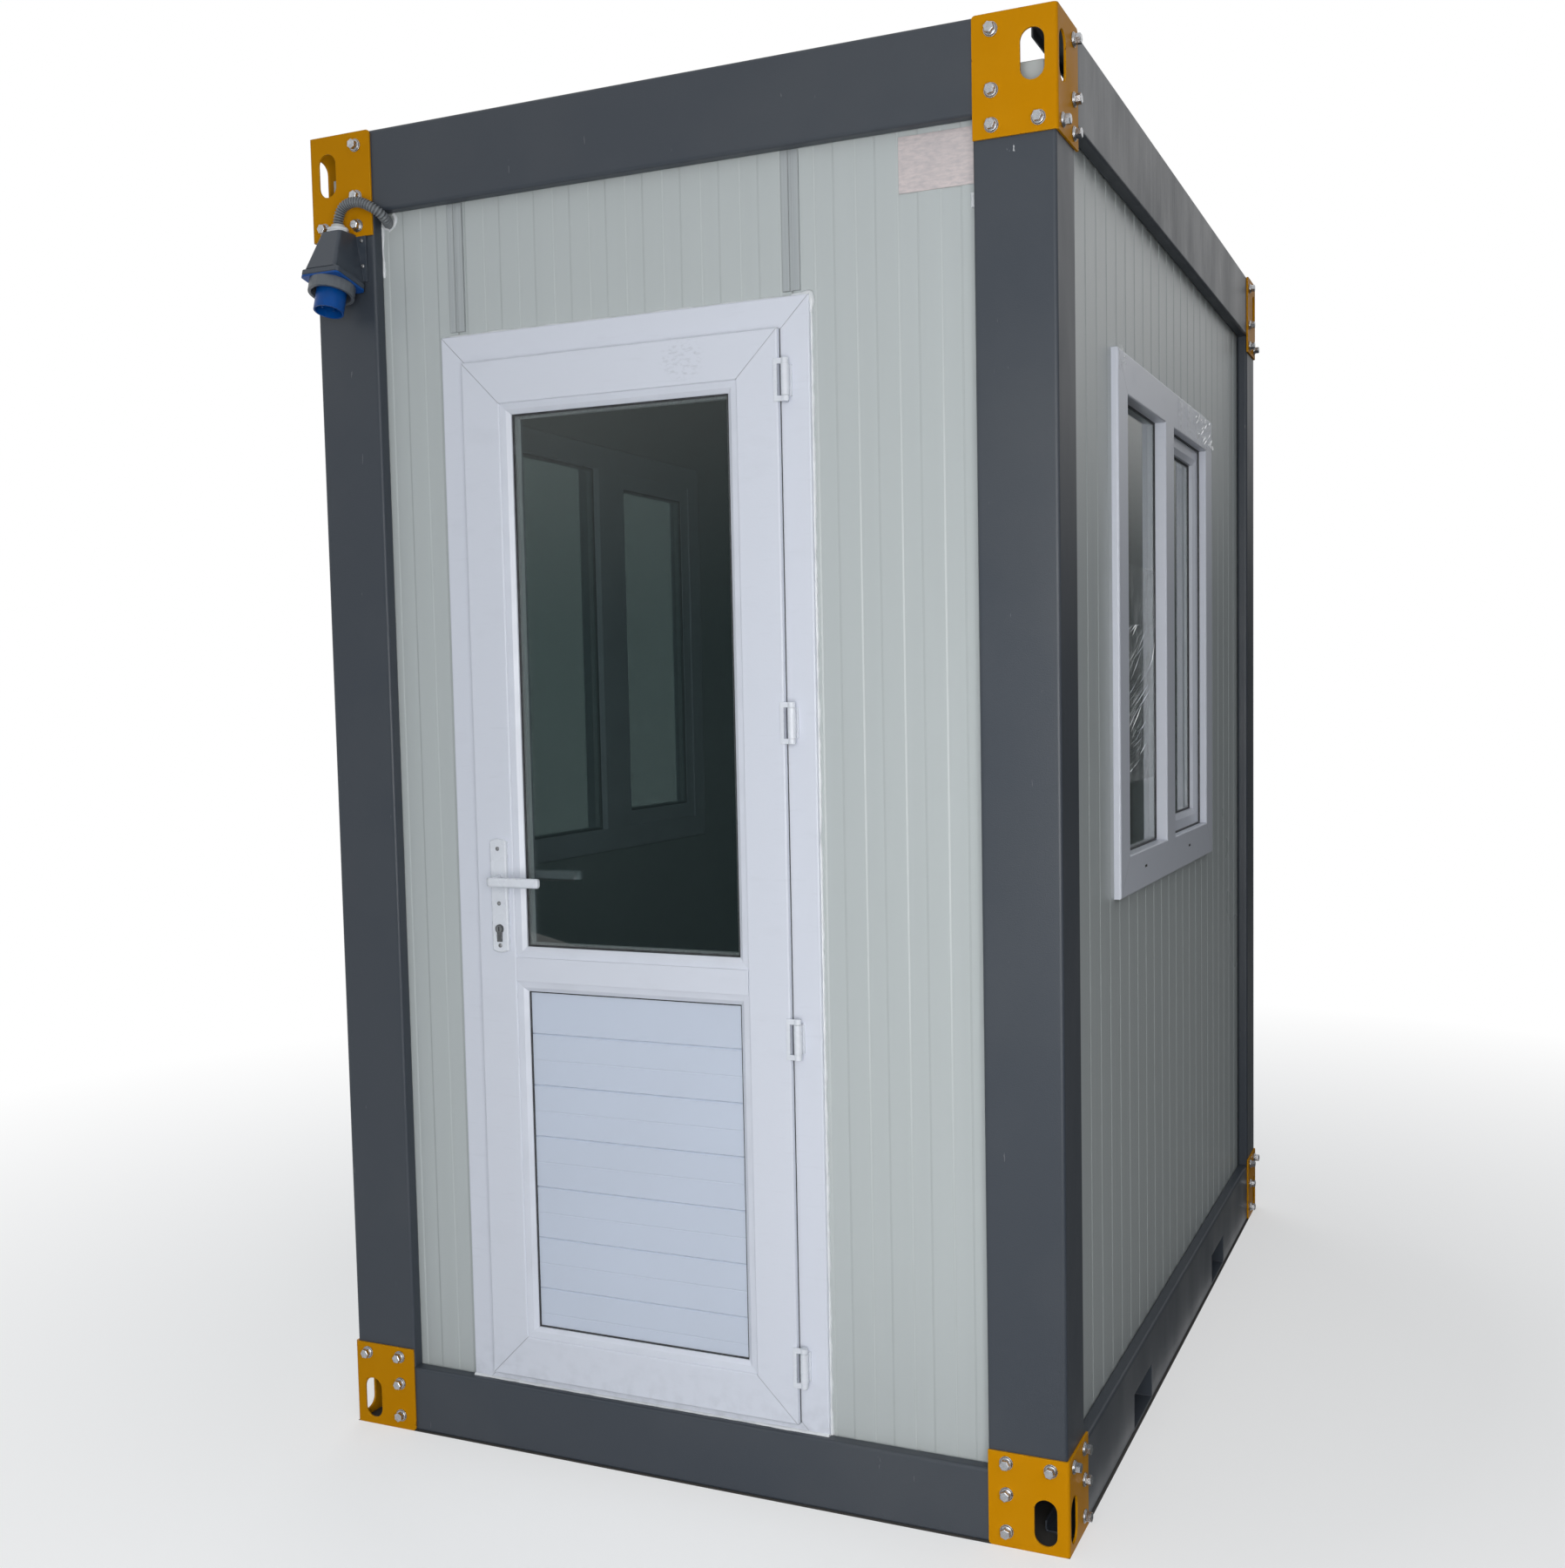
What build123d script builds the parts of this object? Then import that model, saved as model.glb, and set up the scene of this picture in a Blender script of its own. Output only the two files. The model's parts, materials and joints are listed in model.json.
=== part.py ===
from build123d import *
from math import radians, tan
import os

# Overall size over the corner brackets, in millimetres
WIDTH = 1500
DEPTH = 2000
HEIGHT = 2560

# Shared allowances
OVERRUN = 30
SEAT_GAP = 0.3
RUNNING_GAP = 0.05

# Formed steel frame
SHEET = 3
BEND = 6
POST_FRONT = 141
POST_SIDE = 113
RETURN = 27
RETURN_LIP = 30
TOP_BEAM = 154
BASE_BEAM_END = 130
BASE_BEAM_SIDE = 150
BASE_LIP = 24
FLANGE = 60
FLANGE_LIP = 20
BEAM_CUTBACK_FRONT = 84
BEAM_CUTBACK_SIDE = 68

# Bolted corner brackets with lifting slots
BRACKET_PLATE = 4
BRACKET_BEND = 7
BRACKET_FRONT = 144
BRACKET_SIDE = 126
BRACKET_TOP = 197
BRACKET_BASE = 167
BRACKET_CORNER = 7
SLOT_WIDTH = 41
SLOT_LENGTH = 82
SLOT_FROM_CORNER_FRONT = 42
SLOT_FROM_CORNER_SIDE = 31
SLOT_FROM_TOP = 74
SLOT_FROM_GROUND = 54

# Floor with fork pockets
FLOOR_BOARD = 18
FORK_WIDTH = 160
FORK_HEIGHT = 70
FORK_SPACING = 840
JOIST_WIDTH = 50
JOIST_HEIGHT = 106
JOIST_SPACING = 690

# Sandwich panels, ceiling and roof sheet
PANEL = 50
PANEL_SKIN = 2
PANEL_JOINT = 2
RIB_PITCH = 77
RIB_BAND = 38
RIB_FLANK = 3
RIB_HEIGHT = 1
RIB_FROM_JOINT = 24
CEILING_LAP = 30
ROOF_RIB_PITCH = 190
ROOF_RIB_HEIGHT = 28
ROOF_RIB_TOP = 35
ROOF_RIB_FOOT = 75
ROOF_SHEET = 1.5
STRIP_WIDTH = 33
STRIP_THICKNESS = 4
STRIP_GROOVE = 6
STRIP_LIFT = 9

# Door frame
DOOR_WIDTH = 770
DOOR_HEIGHT = 2028
DOOR_CENTRE = -86
FRAME_BAR = 65
FRAME_OVERLAP = 35
FRAME_FLANGE = 10
FRAME_EDGE = 3
FRAME_FIT = 2
SILL = 28

# Door leaf
LEAF_LAP = 10
LEAF_GAP = 5
LEAF_SIDE_GAP = 8
LEAF_LIP = 10
LEAF_THICKNESS = 60
LEAF_BAR = 82
LEAF_MID_RAIL = 46
LEAF_MID_HEIGHT = 805
LEAF_EDGE = 3
BEAD = 20
BEAD_FLAT = 12
BEAD_STEP = 3
BEAD_FLAT_DROP = 5
BEAD_DROP = 11
GLASS_FRONT = 16
GLASS_UNIT = 20
GLASS_COVER = 14
BOARD_PITCH = 100
BOARD_FIRST = 76
BOARD_GROOVE = 5
BOARD_GROOVE_DEPTH = 3
BOARD_LINE = 3
BOARD_LINE_DEPTH = 0.8

# Handle set
PLATE_WIDTH = 36
PLATE_HEIGHT = 219
PLATE_THICKNESS = 9
PLATE_ARCH = 5
PLATE_BEVEL = 2
PLATE_FROM_EDGE = 54
PLATE_FROM_BOTTOM = 837
LEVER_DROP = 79
LEVER_LENGTH = 115
LEVER_HEIGHT = 18
LEVER_THICKNESS = 13
LEVER_STAND = 42
LEVER_ELBOW = 14
LEVER_ROUND = 5
LEVER_END = 3
LEVER_COLLAR = 11
LEVER_COLLAR_HEIGHT = 5
SPINDLE = 5
SPINDLE_PLAY = 1
CYLINDER_DROP = 173
CYLINDER_RADIUS = 8.5
CYLINDER_WEB = 5
CYLINDER_LENGTH = 33
CYLINDER_PROUD = 3

# Door hinges
HINGE_SHARES = (0.055, 0.362, 0.650, 0.954)
HINGE_HEIGHT = 74
HINGE_MIDDLE = 54
HINGE_RADIUS = 7.5
KNUCKLE_RADIUS = 6.5
HINGE_PIN = 4
HINGE_FROM_LEAF = 14
HINGE_BEHIND = 1
HINGE_PLATE = 3
HINGE_STRIP = 7
HINGE_WEB = 8

# Windows in the side walls
WINDOW_WIDTH = 965
WINDOW_HEIGHT = 1048
WINDOW_SILL = 1064
WINDOW_CENTRE = -47
WINDOW_BAR = 78
WINDOW_MULLION = 84
WINDOW_PROUD = 14
WINDOW_OVERLAP = 22
WINDOW_FIXED = 352
WINDOW_EDGE = 4
WINDOW_BEVEL = 2
SASH_SLOPE = 12
SASH_SLOPE_DROP = 6
SASH_BAR = 38
SASH_RECESS = 20
SASH_DEPTH = 40
PANE_RECESS = 26
PANE = 20
SASH_PANE_RECESS = 36

# Power inlet on the front left post
INLET_CENTRE = 78
INLET_TOP_DROP = 194
INLET_HEIGHT = 96
INLET_TOP_WIDTH = 46
INLET_TOP_DEPTH = 44
INLET_WIDTH = 80
INLET_DEPTH = 82
INLET_TILT = 15
INLET_BACK = 4
INLET_BACK_WIDTH = 92
INLET_BACK_HEIGHT = 86
INLET_CORNER = 7
INLET_COLLAR = 12
INLET_COLLAR_EDGE = 3
INLET_COLLAR_LAP = 4
INLET_GASKET = 4
RING_SIDES = 24
RING_RADIUS = 43
RING_BORE = 37
RING_HEIGHT = 22
SHROUD_RADIUS = 28
SHROUD_WALL = 3
SHROUD_HEIGHT = 56
SHROUD_FLOOR = 24
CONTACT_RADIUS = 2.5
CONTACT_LENGTH = 24
CONTACT_CIRCLE = 13
GLAND_RADIUS = 17
GLAND_NECK = 12
GLAND_HEIGHT = 16

# Conduit from the inlet into the wall, its route measured from the post, the panel and the beam
CONDUIT_RADIUS = 10.5
CONDUIT_SIDES = 12
CONDUIT_RUN_SHARE = 0.45
CONDUIT_ROUTE = (
    (78, -53, 8),
    (105, -48, 23),
    (140, -44, 12),
    (157, -34, -18),
    (157, 0, -18),
)

# Planes worked out from the sizes above
FACE_X = WIDTH / 2 - BRACKET_PLATE
FACE_Y = DEPTH / 2 - BRACKET_PLATE
WALL_X = FACE_X - RETURN
WALL_Y = FACE_Y - RETURN
FORK_TOP = SHEET + FORK_HEIGHT + 2 * SHEET
FLOOR_TOP = JOIST_HEIGHT + FLOOR_BOARD
POST_FOOT = BASE_BEAM_END
POST_HEAD = HEIGHT - TOP_BEAM
WALL_HEAD = POST_HEAD + CEILING_LAP
DOOR_LEFT = DOOR_CENTRE - DOOR_WIDTH / 2
DOOR_RIGHT = DOOR_CENTRE + DOOR_WIDTH / 2
DOOR_TOP = BASE_BEAM_END + DOOR_HEIGHT
HOLE_LEFT = DOOR_LEFT + FRAME_OVERLAP
HOLE_RIGHT = DOOR_RIGHT - FRAME_OVERLAP
HOLE_TOP = DOOR_TOP - FRAME_OVERLAP
FRAME_FRONT = -WALL_Y - FRAME_FLANGE
LEAF_FRONT = FRAME_FRONT - LEAF_GAP - LEAF_LIP
LEAF_LEFT = DOOR_LEFT + FRAME_BAR - LEAF_LAP
LEAF_RIGHT = DOOR_RIGHT - FRAME_BAR + LEAF_LAP
LEAF_FOOT = BASE_BEAM_END + SILL - LEAF_LAP
LEAF_TOP = DOOR_TOP - FRAME_BAR + LEAF_LAP
LEAF_BODY = LEAF_LAP + LEAF_SIDE_GAP
HANDLE_X = LEAF_LEFT + PLATE_FROM_EDGE
PLATE_FOOT = LEAF_FOOT + PLATE_FROM_BOTTOM
LEVER_Z = PLATE_FOOT + PLATE_HEIGHT - LEVER_DROP
CYLINDER_Z = PLATE_FOOT + PLATE_HEIGHT - CYLINDER_DROP
LEAF_BACK = LEAF_FRONT + LEAF_THICKNESS
HINGE_X = LEAF_RIGHT + HINGE_FROM_LEAF
HINGE_Y = LEAF_FRONT + HINGE_BEHIND


def block(x0, x1, y0, y1, z0, z1):
    """Block between two opposite corners."""
    middle = Pos((x0 + x1) / 2, (y0 + y1) / 2, (z0 + z1) / 2)
    return middle * Box(x1 - x0, y1 - y0, z1 - z0)


def polygon(points):
    """Flat face with the given corners."""
    return make_face(Polyline(*points, close=True))


def bent_sheet(points, sheet, bend):
    """Section of a bent sheet that lies to the right of its outer line."""
    line = FilletPolyline(*points, radius=bend)
    return make_face(offset(line, amount=sheet, side=Side.RIGHT, closed=True))


def cylinder_along_y(x, z, radius, y0, y1):
    """Round bar along the depth of the booth."""
    section = Plane((x, y0, z), x_dir=(1, 0, 0), z_dir=(0, 1, 0)) * Circle(radius)
    return extrude(section, amount=y1 - y0)


# Corner posts, one section mirrored to the four corners
def corner_post():
    """Front right post: two faces, returns that reach the panels, and end plates."""
    corner = Plane((FACE_X, -FACE_Y, POST_HEAD), x_dir=(-1, 0, 0), z_dir=(0, 0, -1))
    section = bent_sheet(
        (
            (POST_FRONT - RETURN_LIP, RETURN),
            (POST_FRONT, RETURN),
            (POST_FRONT, 0),
            (0, 0),
            (0, POST_SIDE),
            (RETURN, POST_SIDE),
            (RETURN, POST_SIDE - RETURN_LIP),
        ),
        SHEET,
        BEND,
    )
    plate = polygon(
        (
            (BEND, SHEET),
            (POST_FRONT - SHEET, SHEET),
            (POST_FRONT - SHEET, RETURN),
            (RETURN, RETURN),
            (RETURN, POST_SIDE - SHEET),
            (SHEET, POST_SIDE - SHEET),
            (SHEET, BEND),
        )
    )
    length = POST_HEAD - POST_FOOT
    head = extrude(corner * plate, amount=SHEET)
    foot = Pos(0, 0, SHEET - length) * head
    return extrude(corner * section, amount=length) + head + foot


def at_four_corners(part):
    """The part at the front right, front left, back right and back left corner."""
    left = mirror(part, about=Plane.YZ)
    return {
        "front_right": part,
        "front_left": left,
        "back_right": mirror(part, about=Plane.XZ),
        "back_left": mirror(left, about=Plane.XZ),
    }


# Beams of the base ring and of the top ring
def beam_section(foot, head, foot_depth, foot_lip, head_depth, head_lip):
    """Channel with its outer face on the section's vertical axis."""
    return bent_sheet(
        (
            (foot_depth, foot + foot_lip),
            (foot_depth, foot),
            (0, foot),
            (0, head),
            (head_depth, head),
            (head_depth, head - head_lip),
        ),
        SHEET,
        BEND,
    )


def front_beam(section):
    """Beam along the front of the ring."""
    plane = Plane((0, -FACE_Y, 0), x_dir=(0, 1, 0), z_dir=(1, 0, 0))
    return extrude(plane * section, amount=FACE_X - BEAM_CUTBACK_FRONT, both=True)


def right_beam(section):
    """Beam along the right side of the ring."""
    plane = Plane((FACE_X, 0, 0), x_dir=(-1, 0, 0), z_dir=(0, 1, 0))
    return extrude(plane * section, amount=FACE_Y - BEAM_CUTBACK_SIDE, both=True)


def base_side_beam():
    """Right base beam with its fork cut-outs and a notch under each post."""
    section = beam_section(0, BASE_BEAM_SIDE, FLANGE, FLANGE_LIP, RETURN, BASE_LIP)
    beam = right_beam(section)
    half_fork = FORK_WIDTH / 2 + SHEET + SEAT_GAP
    for place in (-FORK_SPACING / 2, FORK_SPACING / 2):
        beam -= block(
            FACE_X - FLANGE - OVERRUN,
            FACE_X + OVERRUN,
            place - half_fork,
            place + half_fork,
            SHEET,
            FORK_TOP + SEAT_GAP,
        )
    for end in (-1, 1):
        inner = end * (FACE_Y - POST_SIDE - SEAT_GAP)
        outer = end * FACE_Y
        beam -= block(
            FACE_X - FLANGE - OVERRUN,
            FACE_X + OVERRUN,
            min(inner, outer),
            max(inner, outer),
            POST_FOOT - SEAT_GAP,
            HEIGHT,
        )
    return beam


def base_front_beam():
    """Front base beam."""
    return front_beam(beam_section(0, BASE_BEAM_END, FLANGE, FLANGE_LIP, RETURN, BASE_LIP))


def top_section():
    """Section of the four top beams."""
    return beam_section(POST_HEAD, HEIGHT, RETURN, RETURN_LIP, FLANGE, FLANGE_LIP)


# Corner brackets
def bracket(foot, height, slot_z, free_end):
    """Front right bracket: a bent plate over the corner with one slot in each leg.

    The far corners of both legs are rounded at the free end, the top or the ground.
    """
    outer = Plane((WIDTH / 2, -DEPTH / 2, foot + height), x_dir=(-1, 0, 0), z_dir=(0, 0, -1))
    section = bent_sheet(
        ((BRACKET_FRONT, 0), (0, 0), (0, BRACKET_SIDE)), BRACKET_PLATE, BRACKET_BEND
    )
    plate = extrude(outer * section, amount=height)
    far_front = (WIDTH / 2 - BRACKET_FRONT, -DEPTH / 2, free_end)
    far_side = (WIDTH / 2, BRACKET_SIDE - DEPTH / 2, free_end)
    corners = [
        plate.edges().filter_by(Axis.Y).sort_by_distance(far_front)[0],
        plate.edges().filter_by(Axis.X).sort_by_distance(far_side)[0],
    ]
    plate = fillet(corners, BRACKET_CORNER)
    slot = SlotOverall(SLOT_LENGTH, SLOT_WIDTH, rotation=90)
    front = Plane(
        (WIDTH / 2 - SLOT_FROM_CORNER_FRONT, -DEPTH / 2, slot_z), x_dir=(1, 0, 0), z_dir=(0, -1, 0)
    )
    side = Plane(
        (WIDTH / 2, SLOT_FROM_CORNER_SIDE - DEPTH / 2, slot_z), x_dir=(0, 1, 0), z_dir=(1, 0, 0)
    )
    plate -= extrude(front * slot, amount=RETURN, both=True)
    return plate - extrude(side * slot, amount=RETURN / 2, both=True)


# Floor
def fork_pockets():
    """Two tubes through the base that take the forks of a truck."""
    width = FORK_WIDTH + 2 * SHEET
    height = FORK_HEIGHT + 2 * SHEET
    tube = Box(2 * FACE_X, width, height)
    tube -= Box(2 * FACE_X + OVERRUN, FORK_WIDTH, FORK_HEIGHT)
    middle = SHEET + height / 2
    return [Pos(0, place, middle) * tube for place in (-FORK_SPACING / 2, FORK_SPACING / 2)]


def floor_joists():
    """Rectangular tubes between the side beams."""
    half = FACE_X - FLANGE
    tube = Box(2 * half, JOIST_WIDTH, JOIST_HEIGHT)
    tube -= Box(2 * half + OVERRUN, JOIST_WIDTH - 2 * SHEET, JOIST_HEIGHT - 2 * SHEET)
    places = (-JOIST_SPACING, 0, JOIST_SPACING)
    return [Pos(0, place, JOIST_HEIGHT / 2) * tube for place in places]


def floor_board():
    """Deck inside the base ring, under the wall panels."""
    return block(-WALL_X, WALL_X, -WALL_Y, WALL_Y, JOIST_HEIGHT, FLOOR_TOP)


# Walls
def front_walls():
    """Cores of the panels beside and over the doorway."""
    outer = PANEL_SKIN - WALL_Y
    inner = PANEL - WALL_Y
    return {
        "front_wall_left": block(-WALL_X, HOLE_LEFT, outer, inner, FLOOR_TOP, WALL_HEAD),
        "front_wall_right": block(HOLE_RIGHT, WALL_X, outer, inner, FLOOR_TOP, WALL_HEAD),
        "front_wall_over_door": block(HOLE_LEFT, HOLE_RIGHT, outer, inner, HOLE_TOP, WALL_HEAD),
    }


def back_wall():
    """Core of the plain panel across the back."""
    return block(-WALL_X, WALL_X, WALL_Y - PANEL, WALL_Y - PANEL_SKIN, FLOOR_TOP, WALL_HEAD)


def window_hole():
    """Hole for the window in the right wall, through core and skin."""
    half = WINDOW_WIDTH / 2 - WINDOW_OVERLAP
    return block(
        WALL_X - PANEL - OVERRUN,
        WALL_X + OVERRUN,
        WINDOW_CENTRE - half,
        WINDOW_CENTRE + half,
        WINDOW_SILL + WINDOW_OVERLAP,
        WINDOW_SILL + WINDOW_HEIGHT - WINDOW_OVERLAP,
    )


def right_wall():
    """Core of the side panel with the hole for its window."""
    half = WALL_Y - PANEL
    wall = block(WALL_X - PANEL, WALL_X - PANEL_SKIN, -half, half, FLOOR_TOP, WALL_HEAD)
    return wall - window_hole()


def ribbed_skin(plane, first_rib, start, end, height):
    """Outer sheet of a panel from start to end, flat behind and with shallow ribs in front.

    The plane lies on the raised bands, with its second axis into the wall.
    """
    half = RIB_BAND / 2
    reach = half + RIB_FLANK
    before = int((first_rib - start) / RIB_PITCH) + 1
    after = int((end - first_rib) / RIB_PITCH) + 1
    ribs = [first_rib + step * RIB_PITCH for step in range(-before, after + 1)]
    points = [(ribs[0] - RIB_PITCH, PANEL_SKIN), (ribs[0] - RIB_PITCH, RIB_HEIGHT)]
    for rib in ribs:
        points += [
            (rib - reach, RIB_HEIGHT),
            (rib - half, 0),
            (rib + half, 0),
            (rib + reach, RIB_HEIGHT),
        ]
    points += [(ribs[-1] + RIB_PITCH, RIB_HEIGHT), (ribs[-1] + RIB_PITCH, PANEL_SKIN)]
    cut = Pos((start + end) / 2, PANEL_SKIN / 2) * Rectangle(end - start, PANEL_SKIN)
    return extrude(plane * (polygon(points) & cut), amount=height)


def front_skins():
    """Skins left of, right of and over the doorway, a joint apart."""
    half_joint = PANEL_JOINT / 2
    low = Plane((0, -WALL_Y, FLOOR_TOP))
    high = Plane((0, -WALL_Y, HOLE_TOP))
    left_rib = HOLE_LEFT - RIB_FROM_JOINT
    right_rib = HOLE_RIGHT + RIB_FROM_JOINT
    full = WALL_HEAD - FLOOR_TOP
    return [
        ribbed_skin(low, left_rib, -WALL_X, HOLE_LEFT - half_joint, full),
        ribbed_skin(low, right_rib, HOLE_RIGHT + half_joint, WALL_X, full),
        ribbed_skin(
            high,
            DOOR_CENTRE,
            HOLE_LEFT + half_joint,
            HOLE_RIGHT - half_joint,
            WALL_HEAD - HOLE_TOP,
        ),
    ]


def back_skin():
    """Skin across the back."""
    plane = Plane((0, -WALL_Y, FLOOR_TOP))
    skin = ribbed_skin(plane, 0, -WALL_X, WALL_X, WALL_HEAD - FLOOR_TOP)
    return mirror(skin, about=Plane.XZ)


def right_skin():
    """Skin of the right wall round its window."""
    half = WALL_Y - PANEL
    plane = Plane((WALL_X, 0, FLOOR_TOP), x_dir=(0, 1, 0), z_dir=(0, 0, 1))
    return ribbed_skin(plane, 0, -half, half, WALL_HEAD - FLOOR_TOP) - window_hole()


def joint_strips():
    """Grooved cover strips on the panel joints over the door."""
    strips = []
    for joint in (HOLE_LEFT, HOLE_RIGHT):
        strip = block(
            joint - STRIP_WIDTH / 2,
            joint + STRIP_WIDTH / 2,
            -WALL_Y - STRIP_THICKNESS,
            -WALL_Y,
            DOOR_TOP + STRIP_LIFT,
            POST_HEAD,
        )
        strip -= block(
            joint - STRIP_GROOVE / 2,
            joint + STRIP_GROOVE / 2,
            -WALL_Y - STRIP_THICKNESS - OVERRUN,
            -WALL_Y - STRIP_THICKNESS / 2,
            DOOR_TOP - OVERRUN,
            POST_HEAD + OVERRUN,
        )
        strips.append(strip)
    return strips


# Roof
def ceiling_panel():
    """Sandwich panel on top of the walls."""
    return block(-WALL_X, WALL_X, -WALL_Y, WALL_Y, WALL_HEAD, WALL_HEAD + PANEL)


def roof_sheet():
    """Trapezoidal sheet on the ceiling panel, ribs from front to back."""
    half = WALL_X - SHEET
    count = int(2 * half / ROOF_RIB_PITCH)
    points = [(-half, 0)]
    for rib in range(count):
        middle = (rib - (count - 1) / 2) * ROOF_RIB_PITCH
        points += [
            (middle - ROOF_RIB_FOOT / 2, 0),
            (middle - ROOF_RIB_TOP / 2, ROOF_RIB_HEIGHT),
            (middle + ROOF_RIB_TOP / 2, ROOF_RIB_HEIGHT),
            (middle + ROOF_RIB_FOOT / 2, 0),
        ]
    points.append((half, 0))
    section = make_face(offset(Polyline(*points), amount=ROOF_SHEET, side=Side.LEFT, closed=True))
    plane = Plane((0, 0, WALL_HEAD + PANEL), x_dir=(1, 0, 0), z_dir=(0, -1, 0))
    return extrude(plane * section, amount=WALL_Y - SHEET, both=True)


# Mitred bars of the door
def frame_bar(profile, side, rect, edge=0):
    """Profile run along one side of a rectangle in the door's plane, with mitred ends.

    The profile's first measure runs inwards from the rectangle's edge, the second back.
    Its first two corners, which face the front, are rounded by edge.
    """
    x0, x1, z0, z1, front = rect
    planes = {
        "left": (Plane((x0, front, z0), x_dir=(1, 0, 0), z_dir=(0, 0, 1)), z1 - z0),
        "right": (Plane((x1, front, z1), x_dir=(-1, 0, 0), z_dir=(0, 0, -1)), z1 - z0),
        "top": (Plane((x0, front, z1), x_dir=(0, 0, -1), z_dir=(1, 0, 0)), x1 - x0),
        "bottom": (Plane((x1, front, z0), x_dir=(0, 0, 1), z_dir=(-1, 0, 0)), x1 - x0),
    }
    plane, length = planes[side]
    reach = max(across for across, depth in profile) + OVERRUN
    outlines = {
        "left": ((x0, z0), (x0, z1), (x0 + reach, z1 - reach), (x0 + reach, z0 + reach)),
        "right": ((x1, z0), (x1, z1), (x1 - reach, z1 - reach), (x1 - reach, z0 + reach)),
        "top": ((x0, z1), (x1, z1), (x1 - reach, z1 - reach), (x0 + reach, z1 - reach)),
        "bottom": ((x0, z0), (x1, z0), (x1 - reach, z0 + reach), (x0 + reach, z0 + reach)),
    }
    mitre = extrude(Plane.XZ * polygon(outlines[side]), amount=DEPTH, both=True)
    section = polygon(profile)
    if edge:
        front = [section.vertices().sort_by_distance((*point, 0))[0] for point in profile[:2]]
        section = fillet(front, edge)
    return extrude(plane * section, amount=length) & mitre


def door_frame():
    """Four mitred bars of one profile, trimmed on the base beam, the sill with a foot on the floor."""
    tunnel = FRAME_FLANGE + PANEL
    profile = (
        (0, 0),
        (FRAME_BAR, 0),
        (FRAME_BAR, tunnel),
        (FRAME_OVERLAP + FRAME_FIT, tunnel),
        (FRAME_OVERLAP + FRAME_FIT, FRAME_FLANGE),
        (0, FRAME_FLANGE),
    )
    buried = FRAME_BAR - SILL
    rect = (DOOR_LEFT, DOOR_RIGHT, BASE_BEAM_END - buried, DOOR_TOP, FRAME_FRONT)
    inside = PANEL - WALL_Y
    above = block(DOOR_LEFT, DOOR_RIGHT, FRAME_FRONT, inside, BASE_BEAM_END, DOOR_TOP)
    bars = {
        side: frame_bar(profile, side, rect, FRAME_EDGE) & above
        for side in ("left", "right", "top", "bottom")
    }
    inner_left = DOOR_LEFT + FRAME_BAR
    inner_right = DOOR_RIGHT - FRAME_BAR
    foot = block(inner_left, inner_right, -WALL_Y, inside, FLOOR_TOP, BASE_BEAM_END)
    return {
        "door_jamb_left": bars["left"],
        "door_jamb_right": bars["right"],
        "door_head": bars["top"],
        "door_sill": bars["bottom"] + foot,
    }


def leaf_profile(bar):
    """Leaf bar with its lap over the frame and a rebate with a sloped edge behind the glass."""
    inner = bar + BEAD
    pocket = GLASS_FRONT + GLASS_UNIT
    back = LEAF_THICKNESS
    return (
        (0, 0),
        (bar, 0),
        (bar, pocket),
        (inner, pocket),
        (inner, back - BEAD_DROP),
        (bar, back - BEAD_STEP),
        (bar, back),
        (LEAF_BODY, back),
        (LEAF_BODY, LEAF_LIP),
        (0, LEAF_LIP),
    )


def mid_rail():
    """Rail between the stiles, with sloped rebates above and below at its back."""
    half = LEAF_MID_RAIL / 2
    edge = half + BEAD
    pocket = GLASS_FRONT + GLASS_UNIT
    back = LEAF_THICKNESS
    middle = LEAF_FOOT + LEAF_MID_HEIGHT
    x0 = LEAF_LEFT + LEAF_BAR
    x1 = LEAF_RIGHT - LEAF_BAR
    web = block(x0, x1, LEAF_FRONT, LEAF_FRONT + pocket, middle - half, middle + half)
    upper = (
        (edge, pocket),
        (edge, back - BEAD_DROP),
        (half, back - BEAD_STEP),
        (half, back),
    )
    lower = tuple((-across, depth) for across, depth in reversed(upper))
    plane = Plane((x0 + BEAD, LEAF_FRONT, middle), x_dir=(0, 0, -1), z_dir=(1, 0, 0))
    return web + extrude(plane * polygon(upper + lower), amount=x1 - x0 - 2 * BEAD)


def glazing_beads():
    """Mitred bead rings in front of the glass and of the boarded panel."""
    profile = (
        (0, BEAD_STEP),
        (BEAD_FLAT, BEAD_FLAT_DROP),
        (BEAD, BEAD_DROP),
        (BEAD, GLASS_FRONT),
        (0, GLASS_FRONT),
    )
    x0 = LEAF_LEFT + LEAF_BAR
    x1 = LEAF_RIGHT - LEAF_BAR
    middle = LEAF_FOOT + LEAF_MID_HEIGHT
    half = LEAF_MID_RAIL / 2
    rings = []
    for z0, z1 in ((middle + half, LEAF_TOP - LEAF_BAR), (LEAF_FOOT + LEAF_BAR, middle - half)):
        rect = (x0, x1, z0, z1, LEAF_FRONT)
        ring = frame_bar(profile, "left", rect)
        for side in ("top", "right", "bottom"):
            ring += frame_bar(profile, side, rect)
        rings.append(ring)
    return rings


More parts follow.
